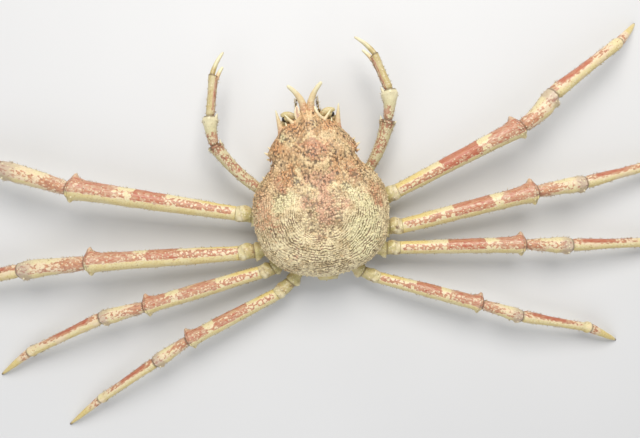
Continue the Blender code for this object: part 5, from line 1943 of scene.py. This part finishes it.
def build_tail_flap():
    """A rounded plate carried along the middle, pinched at its seams, with two blunt teeth."""
    rows, sides = FLAP_GRID
    step = np.hypot(np.diff(ABDOMEN[:, 0]), np.diff(ABDOMEN[:, 1]))
    walked = np.concatenate([[0], np.cumsum(step)])
    at = np.linspace(0, walked[-1], rows)
    y, z, half, thick, lean = (
        curve_through(list(zip(walked, column)), at)[:, None] for column in ABDOMEN.T)
    seams = sum(peak(at, seam, 0.8) for seam in FLAP_SEAMS)[:, None]
    turn = turns(sides)
    wide = np.sign(np.cos(turn)) * np.abs(np.cos(turn)) ** 0.45
    high = 0.5 + 0.5 * np.sign(np.sin(turn)) * np.abs(np.sin(turn)) ** 0.6
    x = half * 0.98 * wide * (1 - 0.05 * seams)
    h = thick * (high * (1 - 0.12 * seams) + 0.06 * seams)
    tip = np.radians(lean)
    points = np.stack([x, y - h * np.sin(tip), z + h * np.cos(tip)], -1)
    grain = low_grains(points, 2.6, 21) * eased(at, 60, 80)[:, None]
    points[..., 1] += 0.35 * (grain - 0.5) * np.sin(tip)
    flat, groups = closed_tube(points)
    masks = underside_masks(grain * 0.7, 0.3 + 0 * grain, 0.6 * seams + 0 * turn)
    make_piece("tail_flap", flat, groups, UNDERSIDE_FINISH, "underside", ["abdomen"], masks)
    foot, end = ABDOMEN_TEETH[:, :3], ABDOMEN_TEETH[:, 3:6]
    teeth = studs(foot, end - foot, ABDOMEN_TEETH[:, 6], np.linalg.norm(end - foot, axis=1), 14,
                  TOOTH_PROFILE)
    make_piece("tail_flap_teeth", teeth[0], teeth[1], STALK_FINISH, "underside", ["abdomen"],
               {"tip": teeth[2] * 0.6})


build_tail_flap()

# %% Mouth plates
PLATE_RINGS = [(0, 11), (0.12, 15), (0.35, 17.5), (0.7, 17), (0.92, 14), (1, 9)]
PLATE_RINGS = [(share, width * 0.96) for share, width in PLATE_RINGS]
PLATE_SEAM, SEAM_WIDTH = 0.62, 0.012


def plate_relief(share, turn, points):
    """Grooves between the parts of the plate, and a ridge along its inner edge."""
    seam = peak(share, PLATE_SEAM, SEAM_WIDTH) + peak(share, 0.12, SEAM_WIDTH)
    ridge = 0.4 * peak(np.cos(turn), 0, 0.2) * (1 - seam)
    return -0.5 * seam + ridge + 0.1 * blotches(points, 2.5, 61)


def build_mouth_plates():
    """Two broad flat tubes side by side that close the mouth from below."""
    points, groups, shares = joined([
        carried_tube((8, -53, 7), (7.5, -83, 27), NO_BOW, PLATE_RINGS, 80, 48, 0.55,
                     plate_relief, side) for side in (1, -1)])
    masks = {"rise": 0 * shares, "mottle": 0.4 + 0 * shares,
             "dark": 0.7 * peak(shares, PLATE_SEAM, SEAM_WIDTH)}
    return make_piece("mouth_plates", points, groups, UNDERSIDE_FINISH, "underside",
                      ["mouthparts"], masks)


build_mouth_plates()

# %% [markdown]
# ## Fixed fingers
# A claw closes on a short finger that is part of the palm. It is one more tube, set on the inner
# side of the palm's far end and turned 22 degrees inwards.

# %% Fixed fingers
FIXED_FINGER_RINGS = [(0, 4.4), (0.3, 4.2), (0.6, 3.7), (0.88, 3), (0.97, 2.3), (1, 1.4)]


def build_fixed_finger(name, claw):
    """The short finger that doesn't move, on the inner side of the palm's far end."""
    side = 1 if "left" in name else -1
    joints, faces = limb_joints(claw, CLAW_SEGMENTS, side)
    run = unit(joints[4] - joints[3])
    hind, _ = facing(run, side)
    start = joints[4] - faces[4] * GAP / 2 - hind * 3.4 - run * 3
    end = start + unit(run - hind * 0.41) * 14
    points, groups, shares = carried_tube(start, end, hind * 0.6, FIXED_FINGER_RINGS, 44, 24)
    return make_piece(name + "_fixed_finger", points, groups, HORN_FINISH, "claw",
                      [name + "_palm"], {"tip": 0.25 + 0.75 * eased(shares, 0.2, 0.8)})


for name, claw in CLAWS.items():
    build_fixed_finger(name, claw)
